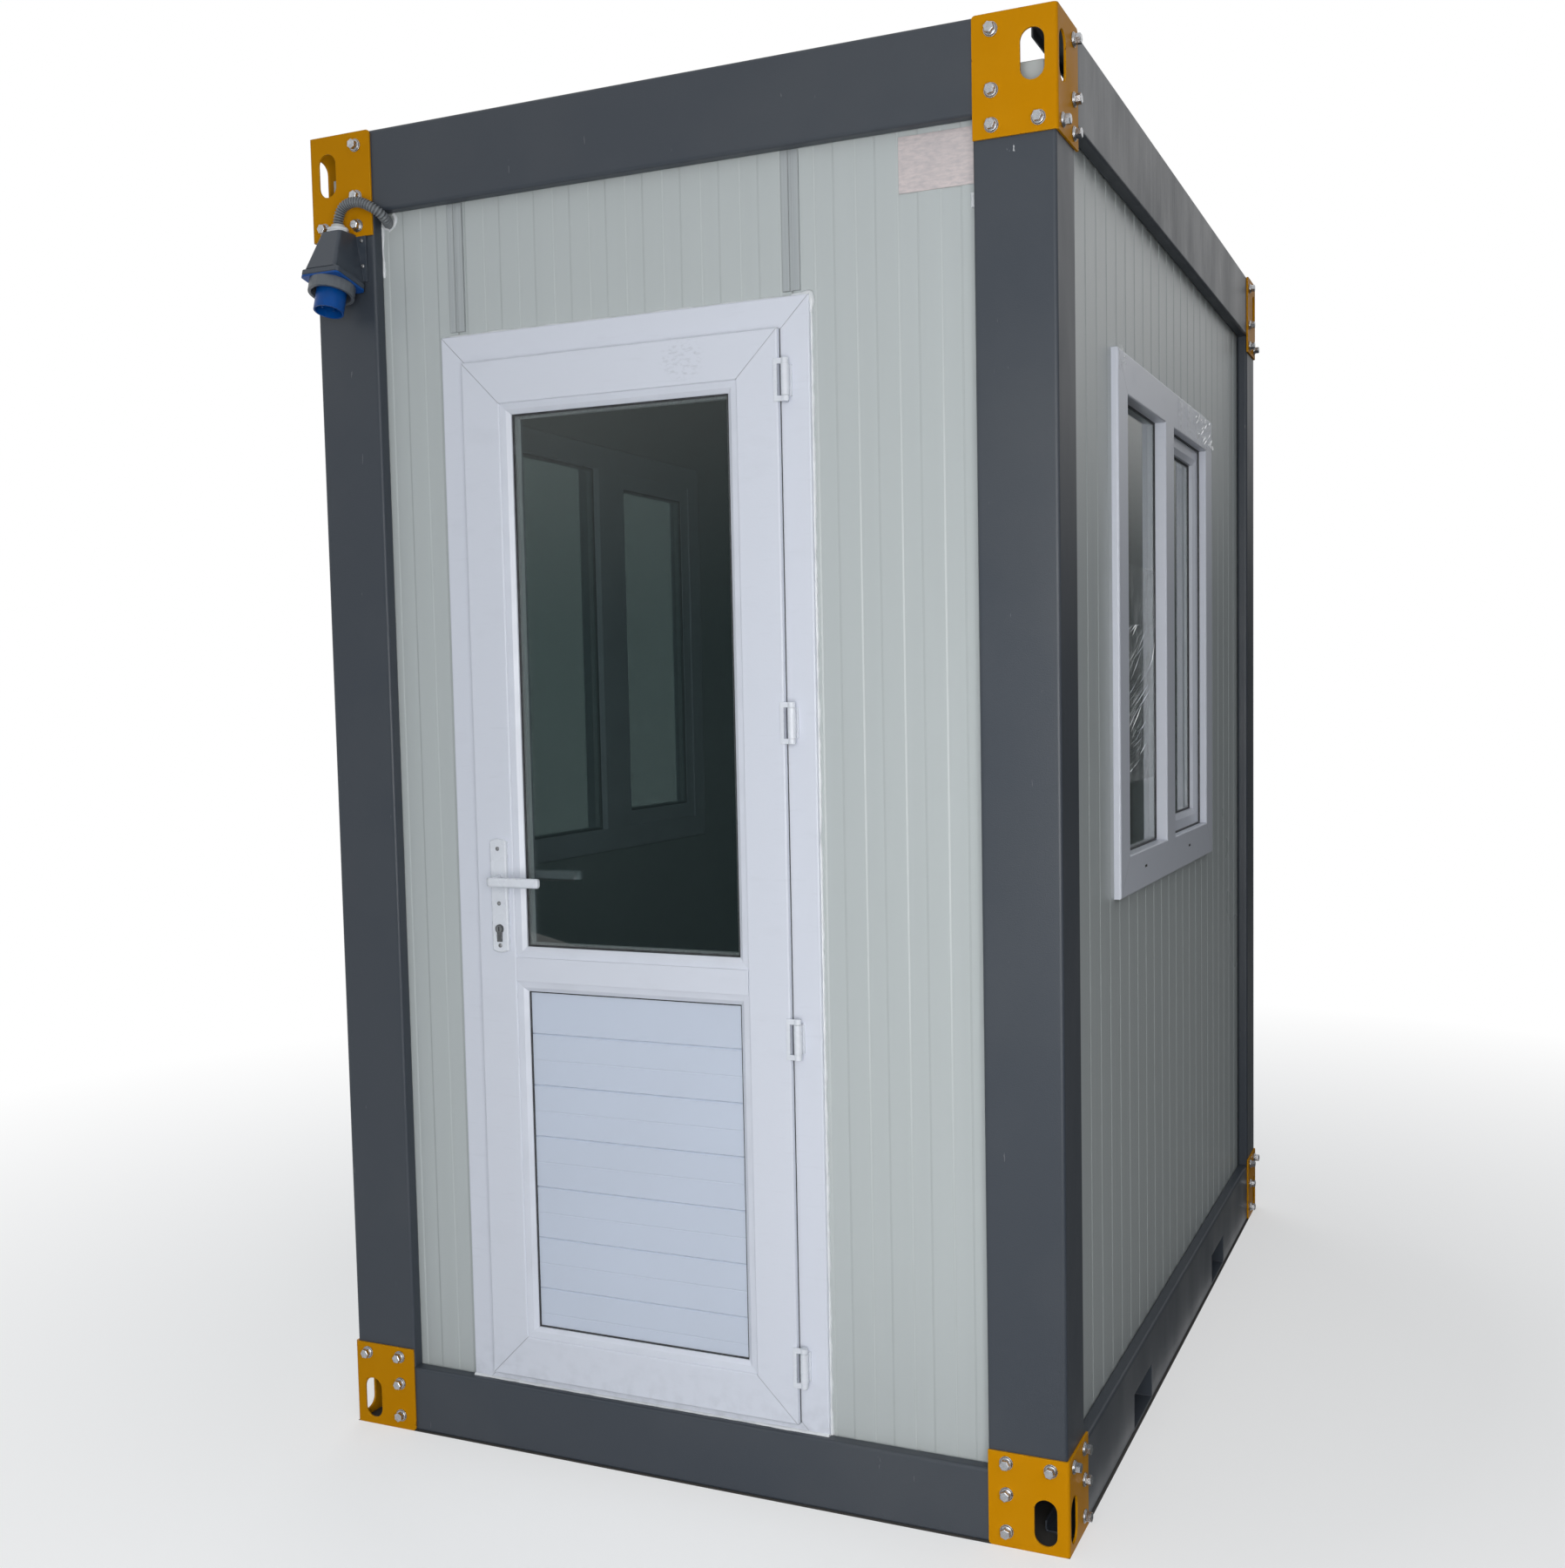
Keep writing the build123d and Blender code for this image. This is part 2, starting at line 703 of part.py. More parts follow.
def handle_bores():
    """Holes for the spindle and the lock cylinder, through the lock stile and its plates."""
    y0 = LEAF_FRONT - OVERRUN
    y1 = LEAF_BACK + OVERRUN
    half_web = CYLINDER_WEB + SEAT_GAP
    foot = CYLINDER_Z - CYLINDER_LENGTH + CYLINDER_RADIUS
    bores = cylinder_along_y(HANDLE_X, LEVER_Z, SPINDLE + SPINDLE_PLAY, y0, y1)
    bores += cylinder_along_y(HANDLE_X, CYLINDER_Z, CYLINDER_RADIUS + SEAT_GAP, y0, y1)
    web = block(HANDLE_X - half_web, HANDLE_X + half_web, y0, y1, foot - SEAT_GAP, CYLINDER_Z)
    return bores + web


def door_leaf():
    """Stiles and rails of the leaf."""
    rect = (LEAF_LEFT, LEAF_RIGHT, LEAF_FOOT, LEAF_TOP, LEAF_FRONT)
    profile = leaf_profile(LEAF_BAR)
    return {
        "door_stile_lock": frame_bar(profile, "left", rect, LEAF_EDGE) - handle_bores(),
        "door_stile_hinge": frame_bar(profile, "right", rect, LEAF_EDGE),
        "door_top_rail": frame_bar(profile, "top", rect, LEAF_EDGE),
        "door_bottom_rail": frame_bar(profile, "bottom", rect, LEAF_EDGE),
        "door_mid_rail": mid_rail(),
    }


def leaf_infill(z0, z1):
    """Plate that fills the groove between two heights."""
    cover = LEAF_BAR + BEAD - GLASS_COVER
    y0 = LEAF_FRONT + GLASS_FRONT
    return block(LEAF_LEFT + cover, LEAF_RIGHT - cover, y0, y0 + GLASS_UNIT, z0, z1)


def board_groove(height, width, depth):
    """Vee groove across the front of the boarded panel."""
    front = LEAF_FRONT + GLASS_FRONT
    section = polygon(((-width / 2, 0), (0, depth), (width / 2, 0)))
    plane = Plane((LEAF_LEFT, front, height), x_dir=(0, 0, -1), z_dir=(1, 0, 0))
    return extrude(plane * section, amount=LEAF_RIGHT - LEAF_LEFT)


def door_infill():
    """Glass above the mid rail and boards with vee joints and middle lines below it."""
    cover = LEAF_BAR + BEAD - GLASS_COVER
    middle = LEAF_FOOT + LEAF_MID_HEIGHT
    half = LEAF_MID_RAIL / 2 + BEAD - GLASS_COVER
    panel_foot = LEAF_FOOT + cover
    panel_top = middle - half
    panel = leaf_infill(panel_foot, panel_top)
    first = LEAF_FOOT + LEAF_BAR + BEAD + BOARD_FIRST
    visible_top = panel_top - GLASS_COVER
    for joint in range(int((visible_top - first) / BOARD_PITCH) + 1):
        height = first + joint * BOARD_PITCH
        panel -= board_groove(height, BOARD_GROOVE, BOARD_GROOVE_DEPTH)
        panel -= board_groove(height - BOARD_PITCH / 2, BOARD_LINE, BOARD_LINE_DEPTH)
    return {
        "door_glass": leaf_infill(middle + half, LEAF_TOP - cover),
        "door_panel": panel,
    }


# Handle set
def handle_plates():
    """Plates with arched ends and bevelled rims on both faces of the lock stile."""
    side = PLATE_WIDTH / 2
    crown = PLATE_HEIGHT / 2
    shoulder = crown - PLATE_ARCH
    outline = make_face(
        Curve()
        + Line((-side, -shoulder), (-side, shoulder))
        + ThreePointArc((-side, shoulder), (0, crown), (side, shoulder))
        + Line((side, shoulder), (side, -shoulder))
        + ThreePointArc((side, -shoulder), (0, -crown), (-side, -shoulder))
    )
    height = PLATE_FOOT + crown
    outside = Plane((HANDLE_X, LEAF_FRONT, height), x_dir=(1, 0, 0), z_dir=(0, -1, 0))
    plate = extrude(outside * outline, amount=PLATE_THICKNESS)
    plate = chamfer(plate.faces().sort_by(Axis.Y)[0].edges(), PLATE_BEVEL) - handle_bores()
    middle = (LEAF_FRONT + LEAF_BACK) / 2
    return [plate, mirror(plate, about=Plane.XZ.offset(-middle))]


def lock_cylinder():
    """Profile cylinder through the stile: a round plug over a flat web."""
    y0 = LEAF_FRONT - PLATE_THICKNESS - CYLINDER_PROUD
    y1 = LEAF_BACK + PLATE_THICKNESS + CYLINDER_PROUD
    foot = CYLINDER_Z - CYLINDER_LENGTH + CYLINDER_RADIUS
    plug = cylinder_along_y(HANDLE_X, CYLINDER_Z, CYLINDER_RADIUS, y0, y1)
    web = block(HANDLE_X - CYLINDER_WEB, HANDLE_X + CYLINDER_WEB, y0, y1, foot, CYLINDER_Z)
    return plug + web


def lever():
    """Two levers on one spindle: each a neck that bends into an arm towards the hinges."""
    base = LEAF_FRONT - PLATE_THICKNESS - SEAT_GAP
    reach = base - LEVER_STAND + LEVER_THICKNESS / 2
    arm_end = HANDLE_X + LEVER_LENGTH
    path = FilletPolyline(
        (HANDLE_X, base, LEVER_Z),
        (HANDLE_X, reach, LEVER_Z),
        (arm_end, reach, LEVER_Z),
        radius=LEVER_ELBOW,
    )
    start = Plane((HANDLE_X, base, LEVER_Z), x_dir=(0, 0, 1), z_dir=(0, -1, 0))
    section = RectangleRounded(LEVER_HEIGHT, LEVER_THICKNESS, LEVER_ROUND)
    outer = sweep(start * section, path=path)
    outer = chamfer(outer.faces().sort_by(Axis.X)[-1].edges(), LEVER_END)
    outer += extrude(start * Circle(LEVER_COLLAR), amount=LEVER_COLLAR_HEIGHT)
    middle = (LEAF_FRONT + LEAF_BACK) / 2
    inner = mirror(outer, about=Plane.XZ.offset(-middle))
    spindle = cylinder_along_y(HANDLE_X, LEVER_Z, SPINDLE, base, 2 * middle - base)
    return outer + spindle + inner


# Hinges
def hinge_heights():
    """Middle of each hinge along the leaf."""
    return [LEAF_FOOT + share * (LEAF_TOP - LEAF_FOOT) for share in HINGE_SHARES]


def hinge_barrels():
    """Frame side: a barrel with its pin, on a web and a plate on the jamb."""
    half = HINGE_MIDDLE / 2
    barrel = Cylinder(HINGE_RADIUS, HINGE_MIDDLE) + Cylinder(HINGE_PIN, HINGE_HEIGHT)
    barrel += block(-HINGE_WEB / 2, HINGE_WEB / 2, 0, FRAME_FRONT - HINGE_Y, -half, half)
    barrel += block(
        -HINGE_RADIUS,
        HINGE_RADIUS,
        FRAME_FRONT - HINGE_PLATE - HINGE_Y,
        FRAME_FRONT - HINGE_Y,
        -half,
        half,
    )
    return [Pos(HINGE_X, HINGE_Y, height) * barrel for height in hinge_heights()]


def hinge_knuckles():
    """Leaf side: two knuckles round the pin, joined by a strip on the leaf's edge."""
    ear = (HINGE_HEIGHT - HINGE_MIDDLE) / 2 - SEAT_GAP
    middle = HINGE_HEIGHT / 2 - ear / 2
    half = HINGE_HEIGHT / 2
    face = LEAF_FRONT - HINGE_Y
    front = face - HINGE_PLATE
    knuckles = block(-HINGE_FROM_LEAF - HINGE_STRIP, -HINGE_FROM_LEAF, front, face, -half, half)
    for place in (-middle, middle):
        knuckles += Pos(0, 0, place) * Cylinder(KNUCKLE_RADIUS, ear)
        knuckles += block(-HINGE_FROM_LEAF, 0, front, face, place - ear / 2, place + ear / 2)
    knuckles -= Cylinder(HINGE_PIN + RUNNING_GAP, HINGE_HEIGHT + OVERRUN)
    return [Pos(HINGE_X, HINGE_Y, height) * knuckles for height in hinge_heights()]


# Windows
def sloped_mouth(face, y0, y1, z0, z1, spread, drop):
    """Tapered cut round the mouth of a hole in the right wall's window."""
    middle = Pos((y0 + y1) / 2, (z0 + z1) / 2)
    inner = Plane((face - drop, 0, 0), x_dir=(0, 1, 0), z_dir=(1, 0, 0))
    outer = Plane((face, 0, 0), x_dir=(0, 1, 0), z_dir=(1, 0, 0))
    return loft(
        Sketch()
        + inner * middle * Rectangle(y1 - y0, z1 - z0)
        + outer * middle * Rectangle(y1 - y0 + 2 * spread, z1 - z0 + 2 * spread)
    )


def window_parts():
    """Frame with a mullion, a sash behind it and the two panes of the right window."""
    face = WALL_X + WINDOW_PROUD
    back = WALL_X - PANEL
    y0 = WINDOW_CENTRE - WINDOW_WIDTH / 2
    y1 = WINDOW_CENTRE + WINDOW_WIDTH / 2
    z0 = WINDOW_SILL
    z1 = WINDOW_SILL + WINDOW_HEIGHT
    inset = WINDOW_OVERLAP + FRAME_FIT
    frame = block(WALL_X, face, y0, y1, z0, z1)
    frame = fillet(frame.faces().sort_by(Axis.X)[-1].edges(), WINDOW_EDGE)
    frame += block(back, WALL_X, y0 + inset, y1 - inset, z0 + inset, z1 - inset)
    low, high = z0 + WINDOW_BAR, z1 - WINDOW_BAR
    fixed = (y0 + WINDOW_BAR, y0 + WINDOW_BAR + WINDOW_FIXED)
    opening = (fixed[1] + WINDOW_MULLION, y1 - WINDOW_BAR)
    for start, end in (fixed, opening):
        frame -= block(back - OVERRUN, face + OVERRUN, start, end, low, high)
        frame -= sloped_mouth(face, start, end, low, high, WINDOW_BEVEL, WINDOW_BEVEL)
    sash_face = face - SASH_RECESS
    sash_hole = (opening[0] + SASH_BAR, opening[1] - SASH_BAR, low + SASH_BAR, high - SASH_BAR)
    sash = block(sash_face - SASH_DEPTH, sash_face, *opening, low, high)
    sash -= block(sash_face - SASH_DEPTH - OVERRUN, sash_face + OVERRUN, *sash_hole)
    sash -= sloped_mouth(sash_face, *sash_hole, SASH_SLOPE, SASH_SLOPE_DROP)
    pane_face = face - PANE_RECESS
    sash_pane_face = face - SASH_PANE_RECESS
    panes = [
        block(pane_face - PANE, pane_face, *fixed, low, high),
        block(sash_pane_face - PANE, sash_pane_face, *sash_hole),
    ]
    return frame, sash, panes


# Power inlet
def inlet_parts():
    """Tapered housing on a back plate, with a tilted collar, gasket, ring and shroud."""
    x = -FACE_X + INLET_CENTRE
    top = HEIGHT - INLET_TOP_DROP
    wall = -FACE_Y - INLET_BACK
    lower = Plane((x, wall, top - INLET_HEIGHT), x_dir=(1, 0, 0), z_dir=(0, 0, 1))
    lower = lower.rotated((-INLET_TILT, 0, 0))
    centre = Pos(0, -INLET_DEPTH / 2, 0)
    lip = (lower * Pos(0, -INLET_DEPTH, 0)).position
    foot = top - INLET_HEIGHT
    side_view = polygon(((wall, top), (wall - INLET_TOP_DEPTH, top), (lip.Y, lip.Z), (wall, foot)))
    half_top = INLET_TOP_WIDTH / 2
    half_foot = INLET_WIDTH / 2
    front_view = polygon(
        ((x - half_top, top), (x + half_top, top), (x + half_foot, foot), (x - half_foot, foot))
    )
    housing = extrude(Plane.YZ.offset(x) * side_view, amount=INLET_WIDTH, both=True)
    housing &= extrude(Plane.XZ * front_view, amount=DEPTH, both=True)
    lip_corners = [
        housing.edges().sort_by_distance((x + side * half_foot, lip.Y, (top + lip.Z) / 2))[0]
        for side in (-1, 1)
    ]
    housing = fillet(lip_corners, INLET_CORNER)
    plate_top = HEIGHT - BRACKET_TOP - SEAT_GAP
    half_plate = INLET_BACK_WIDTH / 2
    plate_foot = plate_top - INLET_BACK_HEIGHT
    housing += block(x - half_plate, x + half_plate, wall, -FACE_Y, plate_foot, plate_top)
    axis = lower * centre
    lap = RectangleRounded(INLET_WIDTH + 2 * INLET_COLLAR_LAP, INLET_DEPTH, INLET_CORNER)
    collar = extrude(axis * lap, amount=-INLET_COLLAR)
    collar = fillet(collar.faces().sort_by(Axis.Z)[-1].edges(), INLET_COLLAR_EDGE)
    gasket = extrude(axis * Pos(0, 0, -INLET_COLLAR) * lap, amount=-INLET_GASKET)
    seat = axis * Pos(0, 0, -INLET_COLLAR - INLET_GASKET)
    ring_outline = RegularPolygon(RING_RADIUS, RING_SIDES) - Circle(RING_BORE)
    ring = extrude(seat * ring_outline, amount=-RING_HEIGHT)
    shroud = extrude(seat * Circle(SHROUD_RADIUS), amount=-SHROUD_HEIGHT)
    hollow = Circle(SHROUD_RADIUS - SHROUD_WALL)
    shroud -= extrude(seat * Pos(0, 0, -SHROUD_FLOOR) * hollow, amount=-SHROUD_HEIGHT)
    for turn in range(3):
        place = Rot(0, 0, turn * 360 / 3) * Pos(0, CONTACT_CIRCLE, -SHROUD_FLOOR)
        shroud += extrude(seat * place * Circle(CONTACT_RADIUS), amount=-CONTACT_LENGTH)
    gland = Cone(GLAND_RADIUS, GLAND_NECK, GLAND_HEIGHT, align=(Align.CENTER, Align.CENTER, Align.MIN))
    gland = Pos(x, wall - INLET_TOP_DEPTH / 2, top) * gland
    exit_point = (x, wall - INLET_TOP_DEPTH / 2, top + GLAND_HEIGHT)
    return housing, collar, gasket, ring, shroud, gland, exit_point


def conduit(start):
    """Hose along straight runs and tangent arcs, from the gland into the wall."""
    corner = Vector(-FACE_X, -WALL_Y, POST_HEAD)
    points = [Vector(*start)] + [corner + Vector(*point) for point in CONDUIT_ROUTE]
    runs = [(end - begin).length for begin, end in zip(points, points[1:])]
    radii = []
    for index in range(1, len(points) - 1):
        turn = (points[index] - points[index - 1]).get_angle(points[index + 1] - points[index])
        reach = CONDUIT_RUN_SHARE * min(runs[index - 1], runs[index])
        radii.append(reach / tan(radians(turn) / 2))
    print("conduit radii", [round(radius, 1) for radius in radii])
    path = FilletPolyline(*points, radius=radii)
    section = RegularPolygon(CONDUIT_RADIUS, CONDUIT_SIDES)
    tube = sweep((path ^ 0) * section, path=path)
    print("conduit volume share", tube.volume / (section.area * path.length))
    return tube


def build():
    """All pieces by name."""
    nodes = {}
    base_front = base_front_beam()
    base_right = base_side_beam()
    top_front = front_beam(top_section())
    top_right = right_beam(top_section())
    nodes["base_beam_front"] = base_front
    nodes["base_beam_back"] = mirror(base_front, about=Plane.XZ)
    nodes["base_beam_right"] = base_right
    nodes["base_beam_left"] = mirror(base_right, about=Plane.YZ)
    nodes["fork_pockets"] = fork_pockets()
    nodes["floor_joists"] = floor_joists()
    nodes["floor_board"] = floor_board()
    for corner, post in at_four_corners(corner_post()).items():
        nodes["corner_post_" + corner] = post
    nodes["top_beam_front"] = top_front
    nodes["top_beam_back"] = mirror(top_front, about=Plane.XZ)
    nodes["top_beam_right"] = top_right
    nodes["top_beam_left"] = mirror(top_right, about=Plane.YZ)
    upper = bracket(HEIGHT - BRACKET_TOP, BRACKET_TOP, HEIGHT - SLOT_FROM_TOP, HEIGHT)
    lower = bracket(0, BRACKET_BASE, SLOT_FROM_GROUND, 0)
    nodes["upper_brackets"] = list(at_four_corners(upper).values())
    nodes["lower_brackets"] = list(at_four_corners(lower).values())
    nodes.update(front_walls())
    wall = right_wall()
    skin = right_skin()
    nodes["right_wall"] = wall
    nodes["left_wall"] = mirror(wall, about=Plane.YZ)
    nodes["back_wall"] = back_wall()
    nodes["front_wall_skins"] = front_skins()
    nodes["side_wall_skins"] = [skin, mirror(skin, about=Plane.YZ)]
    nodes["back_wall_skin"] = back_skin()
    nodes["panel_joint_strips"] = joint_strips()
    nodes["ceiling_panel"] = ceiling_panel()
    nodes["roof_sheet"] = roof_sheet()
    nodes.update(door_frame())
    nodes.update(door_leaf())
    nodes.update(door_infill())
    nodes["glazing_beads"] = glazing_beads()
    nodes["handle_plates"] = handle_plates()
    nodes["lock_cylinder"] = lock_cylinder()
    nodes["lever_handle"] = lever()
    nodes["hinge_barrels"] = hinge_barrels()
    nodes["hinge_knuckles"] = hinge_knuckles()
    frame, sash, panes = window_parts()
    nodes["window_frame_right"] = frame
    nodes["window_frame_left"] = mirror(frame, about=Plane.YZ)
    nodes["window_sashes"] = [sash, mirror(sash, about=Plane.YZ)]
    nodes["window_glass"] = panes + [mirror(pane, about=Plane.YZ) for pane in panes]
    housing, collar, gasket, ring, shroud, gland, exit_point = inlet_parts()
    nodes["inlet_housing"] = housing + collar
    nodes["inlet_gasket"] = gasket
    nodes["inlet_ring"] = ring
    nodes["inlet_shroud"] = shroud
    nodes["inlet_gland"] = gland
    nodes["inlet_conduit"] = conduit(exit_point)
    return nodes


os.makedirs("parts", exist_ok=True)
for name, shape in build().items():
    solids = shape if isinstance(shape, list) else shape.solids()
    export_step(solids[0] if len(solids) == 1 else Compound(solids), f"parts/{name}.step")
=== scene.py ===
"""Paint, fastenings, glazing and trim of a steel-framed guard booth, on a plain stage."""

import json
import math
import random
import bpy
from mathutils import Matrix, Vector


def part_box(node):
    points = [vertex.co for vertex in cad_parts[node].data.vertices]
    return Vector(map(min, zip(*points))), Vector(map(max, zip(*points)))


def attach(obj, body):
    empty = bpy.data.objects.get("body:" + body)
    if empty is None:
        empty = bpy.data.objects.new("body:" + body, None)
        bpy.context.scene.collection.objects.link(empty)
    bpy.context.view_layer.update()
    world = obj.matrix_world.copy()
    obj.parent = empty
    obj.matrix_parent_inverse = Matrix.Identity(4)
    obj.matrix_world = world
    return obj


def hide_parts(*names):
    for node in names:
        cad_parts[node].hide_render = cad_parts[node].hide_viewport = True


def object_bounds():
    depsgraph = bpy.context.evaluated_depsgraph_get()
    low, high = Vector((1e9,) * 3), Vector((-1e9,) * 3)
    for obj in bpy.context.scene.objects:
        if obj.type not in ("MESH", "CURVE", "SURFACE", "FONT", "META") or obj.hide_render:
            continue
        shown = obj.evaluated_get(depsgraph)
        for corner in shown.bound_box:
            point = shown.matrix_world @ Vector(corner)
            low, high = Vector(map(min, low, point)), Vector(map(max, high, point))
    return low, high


bl_info = {
    "name": "Guard Booth Finish",
    "version": (1, 0, 0),
    "blender": (4, 5, 0),
    "location": "View3D > Sidebar > Booth",
    "description": "Paint, fastenings, glazing and trim of a steel-framed guard booth, on a plain stage",
    "category": "Object",
}

import bmesh
import bpy
from bpy.props import FloatProperty, FloatVectorProperty, IntProperty, PointerProperty
from mathutils import Matrix, Vector, noise

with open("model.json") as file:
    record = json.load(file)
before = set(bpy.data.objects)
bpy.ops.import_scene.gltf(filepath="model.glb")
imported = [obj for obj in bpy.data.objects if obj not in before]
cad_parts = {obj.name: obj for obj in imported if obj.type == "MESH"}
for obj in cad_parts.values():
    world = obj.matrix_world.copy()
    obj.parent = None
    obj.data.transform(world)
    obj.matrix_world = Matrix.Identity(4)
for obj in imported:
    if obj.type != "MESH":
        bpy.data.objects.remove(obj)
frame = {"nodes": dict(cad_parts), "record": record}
CAD_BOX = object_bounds()

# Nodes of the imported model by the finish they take
SLOT_NODES = {}
for part in frame["record"]["subparts"]:
    SLOT_NODES.setdefault(part["material_slot"], []).append(part["node"])

# Bolts on a bracket: column and distance from its outer end, then each column's distance from the corner
UPPER_BOLTS = (("column", 0.026), ("column", 0.122), ("column", 0.177), ("corner", 0.176))
LOWER_BOLTS = (("column", 0.028), ("column", 0.094), ("column", 0.149), ("corner", 0.148))
FRONT_LEG = {"column": 0.111, "corner": 0.032}
SIDE_LEG = {"column": 0.097, "corner": 0.028}

# Parts of the door and of the windows that their boxes don't give, share of the tint that shadows take
FRAME_BURIED = 0.037
GLASS_COVER = 0.014
SHADE_SHARE = 0.2
BOARD_SHADOW_SHARE = 0.75
WINDOW_BAR = 0.078
WINDOW_MULLION = 0.084
WINDOW_FIXED = 0.352
SASH_BAR = 0.038
PANE_RECESS = 0.026
SASH_PANE_RECESS = 0.036
SASH_RECESS = 0.020
GLASS_UNIT = 0.020
LEAF_LIP = 0.010
GASKET_LIP_SHARE = 0.6
SEAL_WIDTH = 0.006
SEAL_DEPTH = 0.0043

# Handle set and lock: heights of the screws and of the lock, size of the key slot, radius of the plug
HANDLE_SCREWS = (1.185, 1.080, 0.999)
LOCK_HEIGHT = 1.031
KEYWAY = (0.0022, 0.0095)
LOCK_PLUG = 0.0062

# Screws on the inlet's back plate, and the plate's thickness
INLET_PLATE = 0.004
INLET_SCREWS = ((-0.632, 2.354), (-0.631, 2.306))

# Drain slots of a window along its foot bar: places along the wall, height, size
DRAINS = (-0.312, 0.143)
DRAIN_HEIGHT = 1.108
DRAIN_SIZE = (0.018, 0.005)

# Sealant: ring round the conduit's end, lumps beside the right post, smears beside the ring
RING_RADIUS = 0.0125
LUMPS = ((0.597, 2.290), (0.598, 2.266))
SMEARS = (
    ((-0.606, 2.392), (-0.601, 2.380), (-0.588, 2.374)),
    ((-0.580, 2.404), (-0.574, 2.394), (-0.577, 2.380)),
)

# Thickness of the protective film
FILM_THICKNESS = 0.0001

# Route of the conduit from its gland into the wall
CONDUIT_ROUTE = (
    (-0.668, -1.022, 2.382),
    (-0.664, -1.022, 2.414),
    (-0.623, -1.021, 2.424),
    (-0.586, -1.014, 2.405),
    (-0.578, -0.994, 2.391),
    (-0.591, -0.967, 2.388),
)

# Marks at one place: along the right top beam, partly scratches and partly painted light on its side, on
# the right post under its bracket, on the top rail
BEAM_SCUFF_AND_LIGHT = {
    "Centre": (0.746, -0.2, 2.49),
    "Reach": (0.03, 1.1, 0.11),
    "Stretch": (1.0, 14.0, 1.6),
    "Scale": 6.0,
    "Low": 0.46,
    "High": 0.80,
}
POST_SCUFF = {
    "Centre": (0.676, -0.996, 2.344),
    "Reach": (0.014, 0.02, 0.007),
    "Stretch": (3.0, 1.0, 1.0),
    "Scale": 90.0,
    "Low": 0.60,
    "High": 0.63,
}
LEAF_SCUFF = {
    "Centre": (0.056, -0.994, 2.066),
    "Reach": (0.048, 0.02, 0.044),
    "Stretch": (0.7, 1.0, 1.5),
    "Scale": 130.0,
    "Low": 0.50,
    "High": 0.80,
}

# Thickness of a dark card on the stage
CARD = 0.02

# View of the booth: place, turn in degrees, lens and shift
CAMERA_PLACE = (1.45376, -3.55423, 1.46589)
CAMERA_TURN = (86.139, 0.9635, 22.5378)
CAMERA_LENS = 36.895
CAMERA_SHIFT = (-0.05024, 0.01241)


def colour(name, description, value):
    """Colour that a user would change."""
    return FloatVectorProperty(
        name=name, description=description, subtype="COLOR", size=3, min=0.0, max=1.0, default=value
    )


def length(name, description, value):
    """Length that a user would change, in metres."""
    return FloatProperty(
        name=name, description=description, unit="LENGTH", min=0.0, precision=4, default=value
    )


def share(name, description, value):
    """Share or strength that a user would change."""
    return FloatProperty(name=name, description=description, subtype="FACTOR", min=0.0, default=value)


def power(name, description, value):
    """Power of a light that a user would change, in watts."""
    return FloatProperty(name=name, description=description, unit="POWER", min=0.0, default=value)


class SteelLook(bpy.types.PropertyGroup):
    """Paint of the frame and of its brackets."""

    paint: colour("Frame paint", "Satin paint of posts and beams", (0.041, 0.0495, 0.063))
    # On edges and along the right top beam this paler paint is partly a painted highlight
    rubbed: colour("Rubbed paint", "Paler paint on edges and in scratches", (0.17, 0.175, 0.185))
    dust: colour("Dust", "Dry dust on the paint", (0.078, 0.083, 0.090))
    bracket: colour("Bracket paint", "Ochre paint of the corner brackets", (0.57, 0.236, 0.0008))
    # Along the plate's edges this paler colour is partly a painted highlight
    bracket_edge: colour("Bracket edge", "Paler paint along the plate's edges", (0.78, 0.43, 0.03))
    chipped: colour("Chipped paint", "Dark chips in the bracket paint", (0.16, 0.045, 0.012))
    zinc: colour("Zinc", "Plating of bolts and screws", (0.50, 0.51, 0.53))


class BoltSizes(bpy.types.PropertyGroup):
    """Flange bolts of the brackets."""

    flange: length("Flange radius", "Radius of the bolt's flange", 0.012)
    flange_height: length("Flange height", "Height of the flange with its cone", 0.0045)
    head: length("Head radius", "Radius over the corners of the hexagon", 0.0092)
    head_height: length("Head height", "Height of the hexagon", 0.0085)
    screw: length("Screw radius", "Radius of a pan head screw", 0.0042)
    seed: IntProperty(name="Seed", description="Seed of the bolts' turns", default=7)


class PanelLook(bpy.types.PropertyGroup):
    """Coated sheet of the sandwich panels, cover strips, floor."""

    skin: colour("Panel coat", "Coated sheet of the walls", (0.49, 0.525, 0.525))
    # This grime colour is also the painted shade along the edges of panels and cover strips
    grime_and_shade: colour("Grime", "Dirt low on the walls", (0.25, 0.26, 0.25))
    strip: colour("Cover strip", "Strips on the panel joints", (0.36, 0.385, 0.40))
    deck: colour("Deck", "Board of the floor", (0.26, 0.19, 0.12))
    deck_grain: colour("Deck grain", "Darker grain of the board", (0.14, 0.095, 0.055))
    plate: colour("Bare plate", "Sheet metal offcut under the top beam", (0.68, 0.60, 0.59))
    plate_mottle: colour("Plate mottle", "Greyer patches of the offcut", (0.44, 0.41, 0.425))


